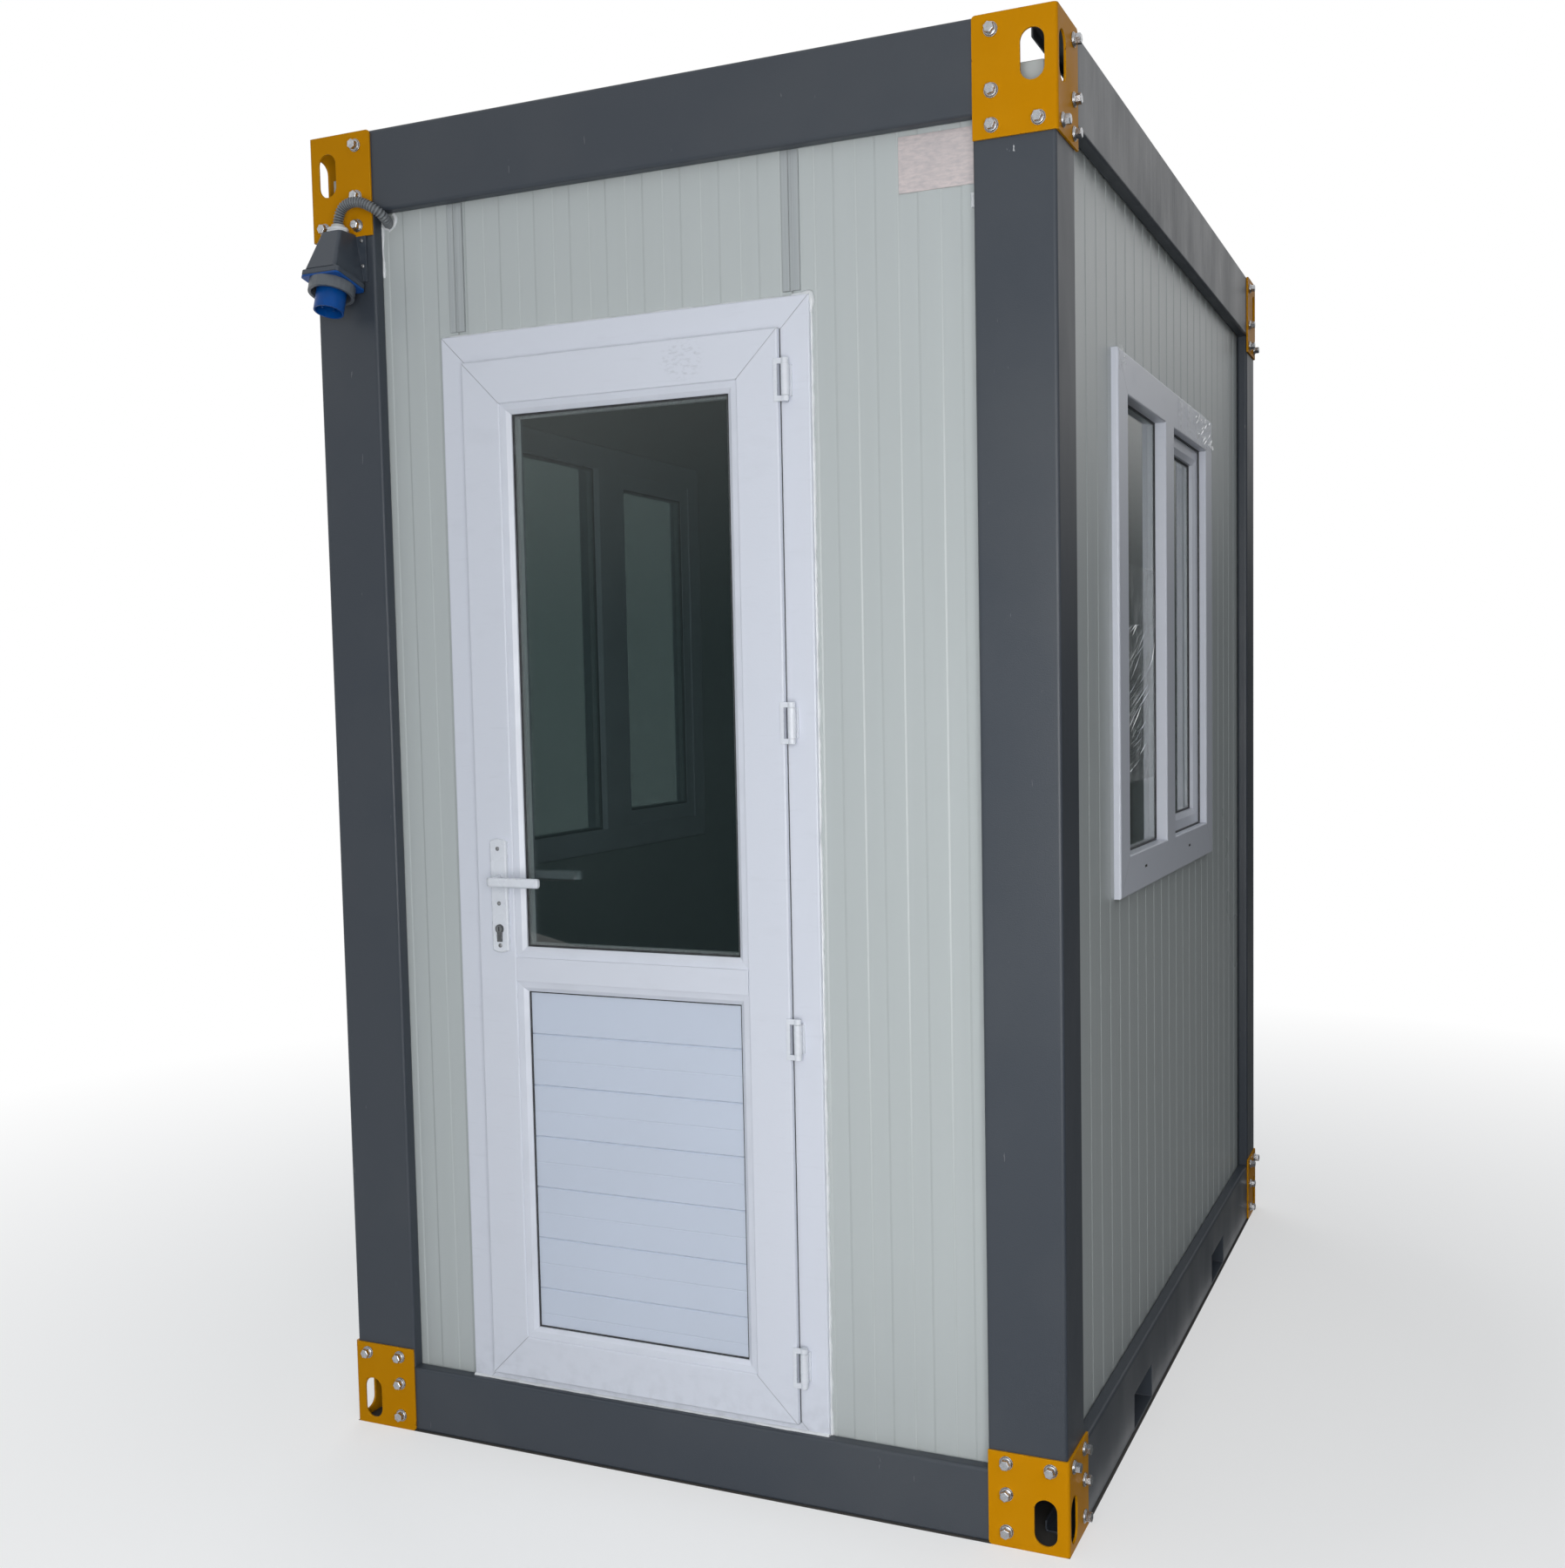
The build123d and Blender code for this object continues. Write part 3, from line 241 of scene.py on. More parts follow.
class DoorLook(bpy.types.PropertyGroup):
    """Plastic bars, handle set and glass."""

    plastic: colour("Plastic", "White bars of door and windows", (0.69, 0.715, 0.79))
    board: colour("Boards", "Boards in the lower half of the door", (0.58, 0.635, 0.745))
    smudge: colour("Smudge", "Grey smears on the plastic", (0.47, 0.49, 0.53))
    seam: colour("Seam", "Welded seams and dirt lines", (0.20, 0.21, 0.23))
    # The tint is darker than clear glass: painted shade for the dark room and the dark reflections in the
    # panes
    glass: colour("Glass", "Tint of the panes", (0.46, 0.505, 0.50))
    coat: colour("Handle coat", "Coat of levers, plates and hinges", (0.74, 0.765, 0.82))
    rubber: colour("Rubber", "Gaskets", (0.012, 0.013, 0.014))
    spacer: colour("Spacer", "Bars between two panes", (0.55, 0.58, 0.60))
    sealant: colour("Sealant", "Silicone along the frame", (0.74, 0.76, 0.78))
    # Colour of the painted glints on the film's folds
    glint: colour("Film glint", "Bright folds of the protective film", (0.95, 0.96, 0.97))
    gasket_width: length("Gasket width", "Visible width of a gasket", 0.0035)
    pane: length("Pane", "Thickness of one pane", 0.004)
    spacer_width: length("Spacer width", "Visible width of a spacer bar", 0.007)


class InletLook(bpy.types.PropertyGroup):
    """Power inlet and its conduit."""

    slate: colour("Housing", "Slate plastic of the housing", (0.034, 0.044, 0.060))
    grey: colour("Ring", "Grey plastic of the locking ring", (0.095, 0.107, 0.122))
    blue: colour("Blue", "Blue plastic of shroud and gasket", (0.0005, 0.066, 0.29))
    gland: colour("Gland", "Off-white gland", (0.60, 0.60, 0.57))
    conduit: colour("Conduit", "Grey conduit", (0.165, 0.18, 0.195))
    # The valley colour is painted shade between the ribs
    valley: colour("Conduit valleys", "Conduit between its ribs", (0.022, 0.026, 0.032))
    radius: length("Conduit radius", "Outer radius of the conduit", 0.0100)
    pitch: length("Conduit pitch", "Distance from rib to rib", 0.0053)
    rib: share("Rib depth", "Depth of the ribs as a share of the radius", 0.24)


class StageLook(bpy.types.PropertyGroup):
    """Floor, light and camera."""

    floor: colour("Floor", "Pale floor", (0.86, 0.865, 0.87))
    floor_bounce: colour("Floor bounce", "Light that the floor throws back", (0.36, 0.38, 0.41))
    lane_bounce: colour("Lane bounce", "The same right of the booth", (0.03, 0.033, 0.036))
    # Dark floor under the booth: painted shade
    floor_under_shade: colour("Floor under", "Floor under the booth", (0.10, 0.095, 0.09))
    sky: colour("Sky", "Colour of the soft light all round", (0.90, 0.95, 1.0))
    sky_strength: share("Sky strength", "Level of the soft light all round", 0.48)
    key_power: power("Key light", "Power of the light in front", 88.0)
    fill_power: power("Fill light", "Power of the light behind", 70.0)
    lens: FloatProperty(name="Lens", description="Focal length", unit="CAMERA", default=CAMERA_LENS)


# Small helpers for node trees
def node(tree, kind, inputs=None, **settings):
    """New node with its settings, its inputs given as values or as sockets to link from."""
    made = tree.nodes.new(kind)
    for name, value in settings.items():
        setattr(made, name, value)
    for name, value in (inputs or {}).items():
        if isinstance(value, bpy.types.NodeSocket):
            tree.links.new(value, made.inputs[name])
        else:
            made.inputs[name].default_value = value
    return made


def math_node(tree, operation, *values):
    """Result of a sum on numbers or sockets."""
    return node(tree, "ShaderNodeMath", dict(enumerate(values)), operation=operation).outputs[0]


def vector_node(tree, operation, *values, **named):
    """Result of a sum on vectors or sockets, as a vector."""
    inputs = {**dict(enumerate(values)), **named}
    return node(tree, "ShaderNodeVectorMath", inputs, operation=operation).outputs["Vector"]


def vector_size(tree, operation, *values):
    """Result of a sum on vectors or sockets, as a number."""
    inputs = dict(enumerate(values))
    return node(tree, "ShaderNodeVectorMath", inputs, operation=operation).outputs["Value"]


def ramp(tree, value, start, end, **ends):
    """Share of the way from start to end, or a number between two ends."""
    inputs = {"Value": value, "From Min": start, "From Max": end}
    inputs.update({label.replace("_", " "): number for label, number in ends.items()})
    return node(tree, "ShaderNodeMapRange", inputs).outputs[0]


def new_tree(kind, name, inputs, outputs):
    """Empty node group with named sockets, with its two end nodes."""
    tree = bpy.data.node_groups.new(name, kind)
    for label, socket_type, default in inputs:
        socket = tree.interface.new_socket(name=label, in_out="INPUT", socket_type=socket_type)
        if default is not None:
            socket.default_value = default
    for label, socket_type in outputs:
        tree.interface.new_socket(name=label, in_out="OUTPUT", socket_type=socket_type)
    return tree, tree.nodes.new("NodeGroupInput").outputs, tree.nodes.new("NodeGroupOutput").inputs


NUMBER = "NodeSocketFloat"
VECTOR = "NodeSocketVector"

# Where an edge starts to show, as the cosine of its bend, and the solid core of a scuff
EDGE_START = 0.99
SCUFF_CORE = 0.6


# Shader effects that several finishes share
def make_patchy_mask():
    """Soft patches or streaks: noise on the piece's coordinates, cut between two levels."""
    tree, given, result = new_tree(
        "ShaderNodeTree",
        "Patchy Mask",
        (
            ("Stretch", VECTOR, (1.0, 1.0, 1.0)),
            ("Scale", NUMBER, 10.0),
            ("Detail", NUMBER, 4.0),
            ("Low", NUMBER, 0.4),
            ("High", NUMBER, 0.7),
        ),
        (("Mask", NUMBER),),
    )
    place = node(tree, "ShaderNodeTexCoord").outputs["Object"]
    stretched = vector_node(tree, "MULTIPLY", place, given["Stretch"])
    cloud = node(
        tree,
        "ShaderNodeTexNoise",
        {"Vector": stretched, "Scale": given["Scale"], "Detail": given["Detail"]},
    )
    level = ramp(tree, cloud.outputs[0], given["Low"], given["High"])
    tree.links.new(level, result["Mask"])


def make_soft_edge():
    """Rounded edges: a normal that bends over each edge, and a mask along it."""
    tree, given, result = new_tree(
        "ShaderNodeTree",
        "Soft Edge",
        (("Radius", NUMBER, 0.002), ("Reach", NUMBER, 0.8)),
        (("Mask", NUMBER), ("Normal", VECTOR)),
    )
    bent = node(tree, "ShaderNodeBevel", {"Radius": given["Radius"]}, samples=4).outputs[0]
    flat = node(tree, "ShaderNodeNewGeometry").outputs["True Normal"]
    same = vector_size(tree, "DOT_PRODUCT", bent, flat)
    tree.links.new(ramp(tree, same, EDGE_START, given["Reach"]), result["Mask"])
    tree.links.new(bent, result["Normal"])


def make_height_band():
    """Share from 0 at one height to 1 at another."""
    tree, given, result = new_tree(
        "ShaderNodeTree",
        "Height Band",
        (("From", NUMBER, 0.0), ("To", NUMBER, 1.0)),
        (("Mask", NUMBER),),
    )
    place = node(tree, "ShaderNodeTexCoord").outputs["Object"]
    height = node(tree, "ShaderNodeSeparateXYZ", {0: place}).outputs["Z"]
    tree.links.new(ramp(tree, height, given["From"], given["To"]), result["Mask"])


def make_mitre_lines():
    """Thin lines across the corners of a rectangular frame, along the mitres of its bars."""
    tree, given, result = new_tree(
        "ShaderNodeTree",
        "Mitre Lines",
        (
            ("Centre", VECTOR, (0.0, 0.0, 0.0)),
            ("Across", VECTOR, (1.0, 0.0, 0.0)),
            ("Half Width", NUMBER, 0.5),
            ("Half Height", NUMBER, 1.0),
            ("Line", NUMBER, 0.001),
            ("Bar", NUMBER, 0.085),
        ),
        (("Mask", NUMBER),),
    )
    place = node(tree, "ShaderNodeTexCoord").outputs["Object"]
    offset = vector_node(tree, "SUBTRACT", place, given["Centre"])
    along = math_node(tree, "ABSOLUTE", vector_size(tree, "DOT_PRODUCT", offset, given["Across"]))
    up = node(tree, "ShaderNodeSeparateXYZ", {0: offset}).outputs["Z"]
    from_side = math_node(tree, "SUBTRACT", given["Half Width"], along)
    from_end = math_node(tree, "SUBTRACT", given["Half Height"], math_node(tree, "ABSOLUTE", up))
    apart = math_node(tree, "ABSOLUTE", math_node(tree, "SUBTRACT", from_side, from_end))
    mask = ramp(tree, apart, 0.0, given["Line"], To_Min=1.0, To_Max=0.0)
    on_bar = math_node(tree, "LESS_THAN", from_side, given["Bar"])
    tree.links.new(math_node(tree, "MULTIPLY", mask, on_bar), result["Mask"])


def make_scuff():
    """Broken marks round one place: noise inside a soft ellipsoid."""
    tree, given, result = new_tree(
        "ShaderNodeTree",
        "Scuff",
        (
            ("Centre", VECTOR, (0.0, 0.0, 0.0)),
            ("Reach", VECTOR, (0.05, 0.05, 0.05)),
            ("Stretch", VECTOR, (1.0, 1.0, 1.0)),
            ("Scale", NUMBER, 60.0),
            ("Low", NUMBER, 0.55),
            ("High", NUMBER, 0.60),
        ),
        (("Mask", NUMBER),),
    )
    place = node(tree, "ShaderNodeTexCoord").outputs["Object"]
    offset = vector_node(tree, "SUBTRACT", place, given["Centre"])
    away = vector_size(tree, "LENGTH", vector_node(tree, "DIVIDE", offset, given["Reach"]))
    inside = ramp(tree, away, 1.0, SCUFF_CORE)
    marks = node(tree, "ShaderNodeGroup", node_tree=bpy.data.node_groups["Patchy Mask"])
    for label in ("Stretch", "Scale", "Low", "High"):
        tree.links.new(given[label], marks.inputs[label])
    tree.links.new(math_node(tree, "MULTIPLY", inside, marks.outputs["Mask"]), result["Mask"])


def make_effects():
    """The shared shader groups, each built once."""
    make_patchy_mask()
    make_soft_edge()
    make_height_band()
    make_mitre_lines()
    make_scuff()


def effect(tree, name, **inputs):
    """Shared effect placed in a material with its own values."""
    made = node(tree, "ShaderNodeGroup", node_tree=bpy.data.node_groups[name])
    for label, value in inputs.items():
        made.inputs[label.replace("_", " ")].default_value = value
    return made.outputs


def patches(tree, scale, detail, low, high, stretch=(1.0, 1.0, 1.0)):
    """Mask of soft patches or streaks with their own scale, detail, levels and stretch."""
    made = effect(tree, "Patchy Mask", Stretch=stretch, Scale=scale, Detail=detail, Low=low, High=high)
    return made["Mask"]


def blank_material(name):
    """New material with an empty tree."""
    material = bpy.data.materials.new(name)
    material.use_nodes = True
    material.node_tree.nodes.clear()
    return material, material.node_tree


def new_finish(name):
    """New material with an empty shader."""
    material, tree = blank_material(name)
    shader = node(tree, "ShaderNodeBsdfPrincipled")
    node(tree, "ShaderNodeOutputMaterial", {"Surface": shader.outputs[0]})
    return material, tree, shader.inputs


def rgba(value):
    """Colour with full cover."""
    return (*value, 1.0)


def mixed(tree, mask, first, second, amount=1.0):
    """Colour that goes from first to second by a mask times an amount."""
    factor = math_node(tree, "MULTIPLY", mask, amount)
    inputs = {0: factor}
    for slot, value in ((6, first), (7, second)):
        inputs[slot] = value if isinstance(value, bpy.types.NodeSocket) else rgba(value)
    return node(tree, "ShaderNodeMix", inputs, data_type="RGBA").outputs[2]


def spread(tree, mask, low, high):
    """Number that goes from low to high by a mask."""
    return ramp(tree, mask, 0.0, 1.0, To_Min=low, To_Max=high)


def bumped(tree, height, distance, normal=None):
    """Normal with a bump of the given height in metres."""
    inputs = {"Strength": 1.0, "Distance": distance, "Height": height}
    if normal is not None:
        inputs["Normal"] = normal
    return node(tree, "ShaderNodeBump", inputs).outputs[0]


def join(tree, shader, **sockets):
    """Links or sets the shader's inputs, with underscores for the spaces in their names."""
    for label, value in sockets.items():
        target = shader[label.replace("_", " ")]
        if isinstance(value, bpy.types.NodeSocket):
            # Painted glints on the folds: stand-off of foot and ridge, sway in degrees, shares of the
            # length, widths
            tree.links.new(value, target)
        else:
            target.default_value = value


# Finishes of steel
def frame_paint(look):
    """Satin paint with fine grain, dust, short scratches, and paler edges that are partly rubbed paint and
    partly a painted highlight.
    """
    material, tree, shader = new_finish("Frame Paint")
    edge = effect(tree, "Soft Edge", Radius=0.0022, Reach=0.82)
    dust = patches(tree, 2.6, 7.0, 0.45, 0.80)
    cloud = patches(tree, 9.0, 5.0, 0.3, 0.75, (1.0, 1.0, 0.35))
    scratch = patches(tree, 16.0, 2.0, 0.775, 0.785, (9.0, 9.0, 1.4))
    grain = patches(tree, 620.0, 2.0, 0.3, 0.7)
    base = mixed(tree, dust, look.paint, look.dust, 0.45)
    # Paler streaks along the right top beam's side: partly scratches, partly painted light
    base = mixed(tree, effect(tree, "Scuff", **BEAM_SCUFF_AND_LIGHT)["Mask"], base, look.rubbed, 0.45)
    # Paler edges: partly rubbed paint, partly a painted highlight on folds and bends
    base = mixed(tree, edge["Mask"], base, look.rubbed, 0.55)
    base = mixed(tree, scratch, base, look.rubbed, 0.5)
    base = mixed(tree, effect(tree, "Scuff", **POST_SCUFF)["Mask"], base, look.zinc, 0.9)
    join(
        tree,
        shader,
        Base_Color=base,
        Roughness=spread(tree, cloud, 0.34, 0.47),
        Specular_IOR_Level=0.38,
        Normal=bumped(tree, grain, 0.00008, edge["Normal"]),
    )
    return material


def bracket_paint(look):
    """Ochre paint with pale plate edges and chips."""
    material, tree, shader = new_finish("Bracket Paint")
    edge = effect(tree, "Soft Edge", Radius=0.0016, Reach=0.80)
    cloud = patches(tree, 11.0, 6.0, 0.35, 0.75)
    bend = effect(tree, "Soft Edge", Radius=0.007, Reach=0.9)["Mask"]
    spots = patches(tree, 85.0, 3.0, 0.66, 0.68)
    chips = math_node(tree, "MULTIPLY", spots, bend)
    grain = patches(tree, 520.0, 2.0, 0.3, 0.7)
    base = mixed(tree, cloud, look.bracket, look.bracket_edge, 0.06)
    # Pale plate edges: partly paler paint, partly a painted highlight
    base = mixed(tree, edge["Mask"], base, look.bracket_edge, 0.75)
    base = mixed(tree, chips, base, look.chipped, 0.85)
    join(
        tree,
        shader,
        Base_Color=base,
        Roughness=spread(tree, cloud, 0.36, 0.50),
        Specular_IOR_Level=0.04,
        Normal=bumped(tree, grain, 0.0001, edge["Normal"]),
    )
    return material


def zinc_plate(look, name="Zinc Plate", roughness=0.18, level=0.95):
    """Bright zinc with dull patches and fine turning marks."""
    material, tree, shader = new_finish(name)
    edge = effect(tree, "Soft Edge", Radius=0.0006, Reach=0.80)
    dull = patches(tree, 160.0, 4.0, 0.35, 0.7)
    marks = patches(tree, 700.0, 2.0, 0.3, 0.7, (1.0, 1.0, 6.0))
    join(
        tree,
        shader,
        Base_Color=mixed(tree, dull, [part * level for part in look.zinc], look.rubbed, 0.35),
        Metallic=1.0,
        Roughness=spread(tree, dull, roughness, roughness + 0.2),
        Normal=bumped(tree, marks, 0.00004, edge["Normal"]),
    )
    return material


# Finishes of panels, strips and floor
def panel_coat(look, name="Panel Coat", dirt=1.0):
    """Coated sheet with slow waves, fine speckle, rain streaks, grime near the ground and painted shade
    along its edges.
    """
    material, tree, shader = new_finish(name)
    waves = patches(tree, 1.6, 1.0, 0.0, 1.0, (9.0, 9.0, 0.5))
    streak = patches(tree, 1.5, 6.0, 0.35, 0.85, (26.0, 26.0, 0.8))
    speckle = patches(tree, 900.0, 2.0, 0.3, 0.7)
    cloud = patches(tree, 2.0, 3.0, 0.15, 0.85)
    low = effect(tree, "Height Band", From=0.55, To=0.13)["Mask"]
    splash = math_node(tree, "MULTIPLY", math_node(tree, "POWER", low, 2.0), cloud)
    edge = effect(tree, "Soft Edge", Radius=0.0022, Reach=0.93)
    base = mixed(tree, streak, look.skin, look.grime_and_shade, 0.05 * dirt)
    base = mixed(tree, splash, base, look.grime_and_shade, 0.35 * dirt)
    # Painted shade: edges of ribs and joints darkened towards the grime colour
    base = mixed(tree, edge["Mask"], base, look.grime_and_shade, 0.75)
    height = math_node(tree, "ADD", math_node(tree, "MULTIPLY", waves, 4.0), speckle)
    join(
        tree,
        shader,
        Base_Color=base,
        Roughness=spread(tree, cloud, 0.26, 0.34),
        Specular_IOR_Level=0.35,
        Normal=bumped(tree, height, 0.00005, edge["Normal"]),
    )
    return material


def deck_board(look):
    """Film-faced board with long grain."""
    material, tree, shader = new_finish("Deck Board")
    grain = patches(tree, 9.0, 8.0, 0.35, 0.7, (1.0, 14.0, 1.0))
    dust = patches(tree, 4.0, 6.0, 0.45, 0.8)
    join(
        tree,
        shader,
        Base_Color=mixed(tree, grain, look.deck, look.deck_grain),
        Roughness=spread(tree, dust, 0.42, 0.65),
        Normal=bumped(tree, grain, 0.0002),
    )
    return material


def strip_coat(look):
    """Drawn strip with long die lines and painted shade along its edges."""
    material, tree, shader = new_finish("Strip Coat")
    lines = patches(tree, 12.0, 3.0, 0.35, 0.7, (60.0, 60.0, 0.4))
    edge = effect(tree, "Soft Edge", Radius=0.0014, Reach=0.88)
    base = mixed(tree, lines, look.strip, look.skin, 0.4)
    # Painted shade: the strip's edges darkened towards the grime colour
    join(
        tree,
        shader,
        Base_Color=mixed(tree, edge["Mask"], base, look.grime_and_shade, 0.8),
        Metallic=0.25,
        Roughness=spread(tree, lines, 0.32, 0.45),
        Normal=bumped(tree, lines, 0.00005, edge["Normal"]),
    )
    return material


def bare_plate(look):
    """Mottled sheet metal with rolling marks."""
    material, tree, shader = new_finish("Bare Plate")
    mottle = patches(tree, 80.0, 10.0, 0.34, 0.72, (1.0, 1.0, 3.0))
    tone = patches(tree, 9.0, 2.0, 0.35, 0.65)
    edge = effect(tree, "Soft Edge", Radius=0.0008, Reach=0.8)
    base = mixed(tree, mottle, look.plate, look.plate_mottle, 0.8)
    base = mixed(tree, tone, base, look.plate_mottle, 0.35)
    join(
        tree,
        shader,
        Base_Color=base,
        Metallic=0.35,
        Roughness=spread(tree, mottle, 0.34, 0.5),
        Normal=bumped(tree, mottle, 0.0001, edge["Normal"]),
    )
    return material


# Finishes of plastic, glass and rubber
def plastic_bar(look, name, centre, across, half_width, half_height, scuff=None):
    """White bars with welded mitres, grey smears and a fine skin."""
    material, tree, shader = new_finish(name)
    seam = effect(
        tree,
        "Mitre Lines",
        Centre=centre,
        Across=across,
        Half_Width=half_width,
        Half_Height=half_height,
        Line=0.0011,
    )["Mask"]
    smear = patches(tree, 7.0, 7.0, 0.58, 0.85, (1.0, 1.0, 2.2))
    rub = patches(tree, 5.0, 4.0, 0.60, 0.78, (3.0, 3.0, 22.0))
    low = effect(tree, "Height Band", From=0.34, To=0.135)["Mask"]
    dirt = patches(tree, 38.0, 6.0, 0.45, 0.75)
    splash = math_node(tree, "MULTIPLY", math_node(tree, "POWER", low, 3.0), dirt)
    edge = effect(tree, "Soft Edge", Radius=0.0012, Reach=0.82)
    skin = patches(tree, 420.0, 2.0, 0.3, 0.7)
    base = mixed(tree, smear, look.plastic, look.smudge, 0.16)
    base = mixed(tree, rub, base, look.smudge, 0.10)
    base = mixed(tree, splash, base, look.seam, 0.22)
    if scuff:
        base = mixed(tree, effect(tree, "Scuff", **scuff)["Mask"], base, look.seam, 0.35)
    base = mixed(tree, seam, base, look.seam, 0.75)
    height = math_node(tree, "SUBTRACT", skin, math_node(tree, "MULTIPLY", seam, 8.0))
    join(
        tree,
        shader,
        Base_Color=base,
        Roughness=spread(tree, smear, 0.30, 0.46),
        Specular_IOR_Level=0.45,
        Normal=bumped(tree, height, 0.00005, edge["Normal"]),
    )
    return material


def plain_plastic(name, base, worn, roughness, scale, shine=0.5):
    """Moulded plastic with faint clouds, paler edges and a fine grain."""
    material, tree, shader = new_finish(name)
    cloud = patches(tree, scale, 6.0, 0.40, 0.75)
    edge = effect(tree, "Soft Edge", Radius=0.0012, Reach=0.80)
    grain = patches(tree, 900.0, 2.0, 0.3, 0.7)
    tint = mixed(tree, cloud, base, worn, 0.22)
    join(
        tree,
        shader,
        Base_Color=mixed(tree, edge["Mask"], tint, worn, 0.35),
        Roughness=spread(tree, cloud, roughness, roughness + 0.14),
        Specular_IOR_Level=shine,
        Normal=bumped(tree, grain, 0.00005, edge["Normal"]),
    )
    return material


def ribbed_plastic(look):
    """Plastic of the conduit, with painted shade between its ribs."""
    material, tree, shader = new_finish("Conduit")
    crest = node(tree, "ShaderNodeAttribute", attribute_name="crest").outputs["Fac"]
    cloud = patches(tree, 45.0, 6.0, 0.40, 0.75)
    base = mixed(tree, crest, look.valley, look.conduit)
    join(
        tree,
        shader,
        Base_Color=mixed(tree, cloud, base, look.gland, 0.12),
        Roughness=spread(tree, cloud, 0.40, 0.54),
    )
    return material


def pane_glass(look):
    """Tinted pane with a faint film of dust, which lets the light through to the room; its dark tint is
    painted shade for the room and for dark reflections.
    """
    material, tree, shader = new_finish("Pane Glass")
    dust = patches(tree, 6.0, 7.0, 0.45, 0.85, (1.0, 1.0, 0.5))
    join(
        tree,
        shader,
        Base_Color=rgba(look.glass),
        Roughness=spread(tree, dust, 0.0, 0.02),
        IOR=1.45,
        Specular_IOR_Level=0.35,
        Transmission_Weight=1.0,
    )
    output = tree.nodes["Material Output"]
    glass = output.inputs["Surface"].links[0].from_socket
    tint = [1.0 - SHADE_SHARE * (1.0 - part) for part in look.glass]
    clear = node(tree, "ShaderNodeBsdfTransparent", {"Color": rgba(tint)})
    shadow = node(tree, "ShaderNodeLightPath").outputs["Is Shadow Ray"]
    shown = node(tree, "ShaderNodeMixShader", {0: shadow, 1: glass, 2: clear.outputs[0]})
    tree.links.new(shown.outputs[0], output.inputs["Surface"])
    return material


def clear_film(look):
    """Thin crumpled wrap: mostly clear, whiter on its folds, partly a milky film and partly a painted
    highlight.
    """
    material, tree, shader = new_finish("Clear Film")
    folds = patches(tree, 24.0, 3.0, 0.50, 0.80, (1.0, 1.0, 0.5))
    join(
        tree,
        shader,
        Base_Color=rgba(look.sealant),
        Roughness=0.16,
        Specular_IOR_Level=0.9,
        Alpha=spread(tree, folds, 0.04, 0.22),
        Normal=bumped(tree, folds, 0.0003),
    )
    return material


def film_glint(look):
    """Painted glint on a fold of the wrap."""
    material, tree, shader = new_finish("Film Glint")
    cloud = patches(tree, 120.0, 3.0, 0.35, 0.75)
    join(
        tree,
        shader,
        Base_Color=mixed(tree, cloud, look.glint, look.sealant),
        Metallic=0.85,
        Roughness=spread(tree, cloud, 0.10, 0.25),
    )
    return material


# Small helpers for meshes
def new_piece(name, mesh, body):
    """Piece of the booth on the body that carries it."""
    piece = bpy.data.objects.new(name, mesh)
    bpy.context.scene.collection.objects.link(piece)
    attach(piece, body)
    return piece


def shape_mesh(name, shape, material):
    """Plain mesh of a bmesh, with flat faces that point outwards."""
    bmesh.ops.recalc_face_normals(shape, faces=shape.faces)
    for face in shape.faces:
        face.smooth = False
    mesh = bpy.data.meshes.new(name)
    shape.to_mesh(mesh)
    shape.free()
    mesh.materials.append(material)
    return mesh


def add_box(shape, low, high):
    """Block between two corners."""
    size = Vector(high) - Vector(low)
    middle = (Vector(high) + Vector(low)) / 2
    bmesh.ops.create_cube(shape, size=1.0, matrix=Matrix.LocRotScale(middle, None, size))


def add_ring(shape, place, rect, inset, near, far):
    """Mitred ring inside a rectangle, between two depths; place turns (u, v, depth) into a point."""
    u0, u1, v0, v1 = rect
    corners = ((u0, v0), (u1, v0), (u1, v1), (u0, v1))
    u2, u3, v2, v3 = inset_rect(rect, inset)
    inner = ((u2, v2), (u3, v2), (u3, v3), (u2, v3))
    loops = [
        [shape.verts.new(place(u, v, depth)) for u, v in loop]
        for loop, depth in ((corners, near), (inner, near), (inner, far), (corners, far))
    ]
    for index, loop in enumerate(loops):
        following = loops[(index + 1) % len(loops)]
        for side in range(len(loop)):
            after = (side + 1) % len(loop)
            shape.faces.new((loop[side], loop[after], following[after], following[side]))


def add_plate(shape, place, rect, near, far):
    """Plate over a rectangle, between two depths."""
    u0, u1, v0, v1 = rect
    first, second = place(u0, v0, near), place(u1, v1, far)
    low = [min(a, b) for a, b in zip(first, second)]
    high = [max(a, b) for a, b in zip(first, second)]
    add_box(shape, low, high)


def inset_rect(rect, inset):
    """Rectangle drawn in on all sides."""
    u0, u1, v0, v1 = rect
    return (u0 + inset, u1 - inset, v0 + inset, v1 - inset)


def coat(nodes, material):
    """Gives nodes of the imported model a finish."""
    for name in nodes:
        slots = frame["nodes"][name].data.materials
        slots.clear()
        slots.append(material)


# Shares of a flange bolt: foot of its cone, height and top of its crown
CONE_FOOT = 0.95
CROWN_HEIGHT = 0.13
CROWN_TOP = 0.84

# Shares of a pan head screw's radius: height of its dome, recess, block that cuts off its lower half
DOME_HEIGHT = 0.62
RECESS_SIZE = (1.1, 0.26, 0.7)
RECESS_HEIGHT = 0.66
UNDERCUT = 4.0

# Sides of the conduit, its rings to a rib, and how full its crests are
HOSE_SIDES = 28
RIB_RINGS = 8.0
CREST_POWER = 0.6

# Sides of a bead of sealant, steps along it, size of its lumps and how much they swell it
BEAD_SIDES = 12
BEAD_STEP = 0.004
LUMP_SCALE = 26.0
LUMP_SWELL = 4.0


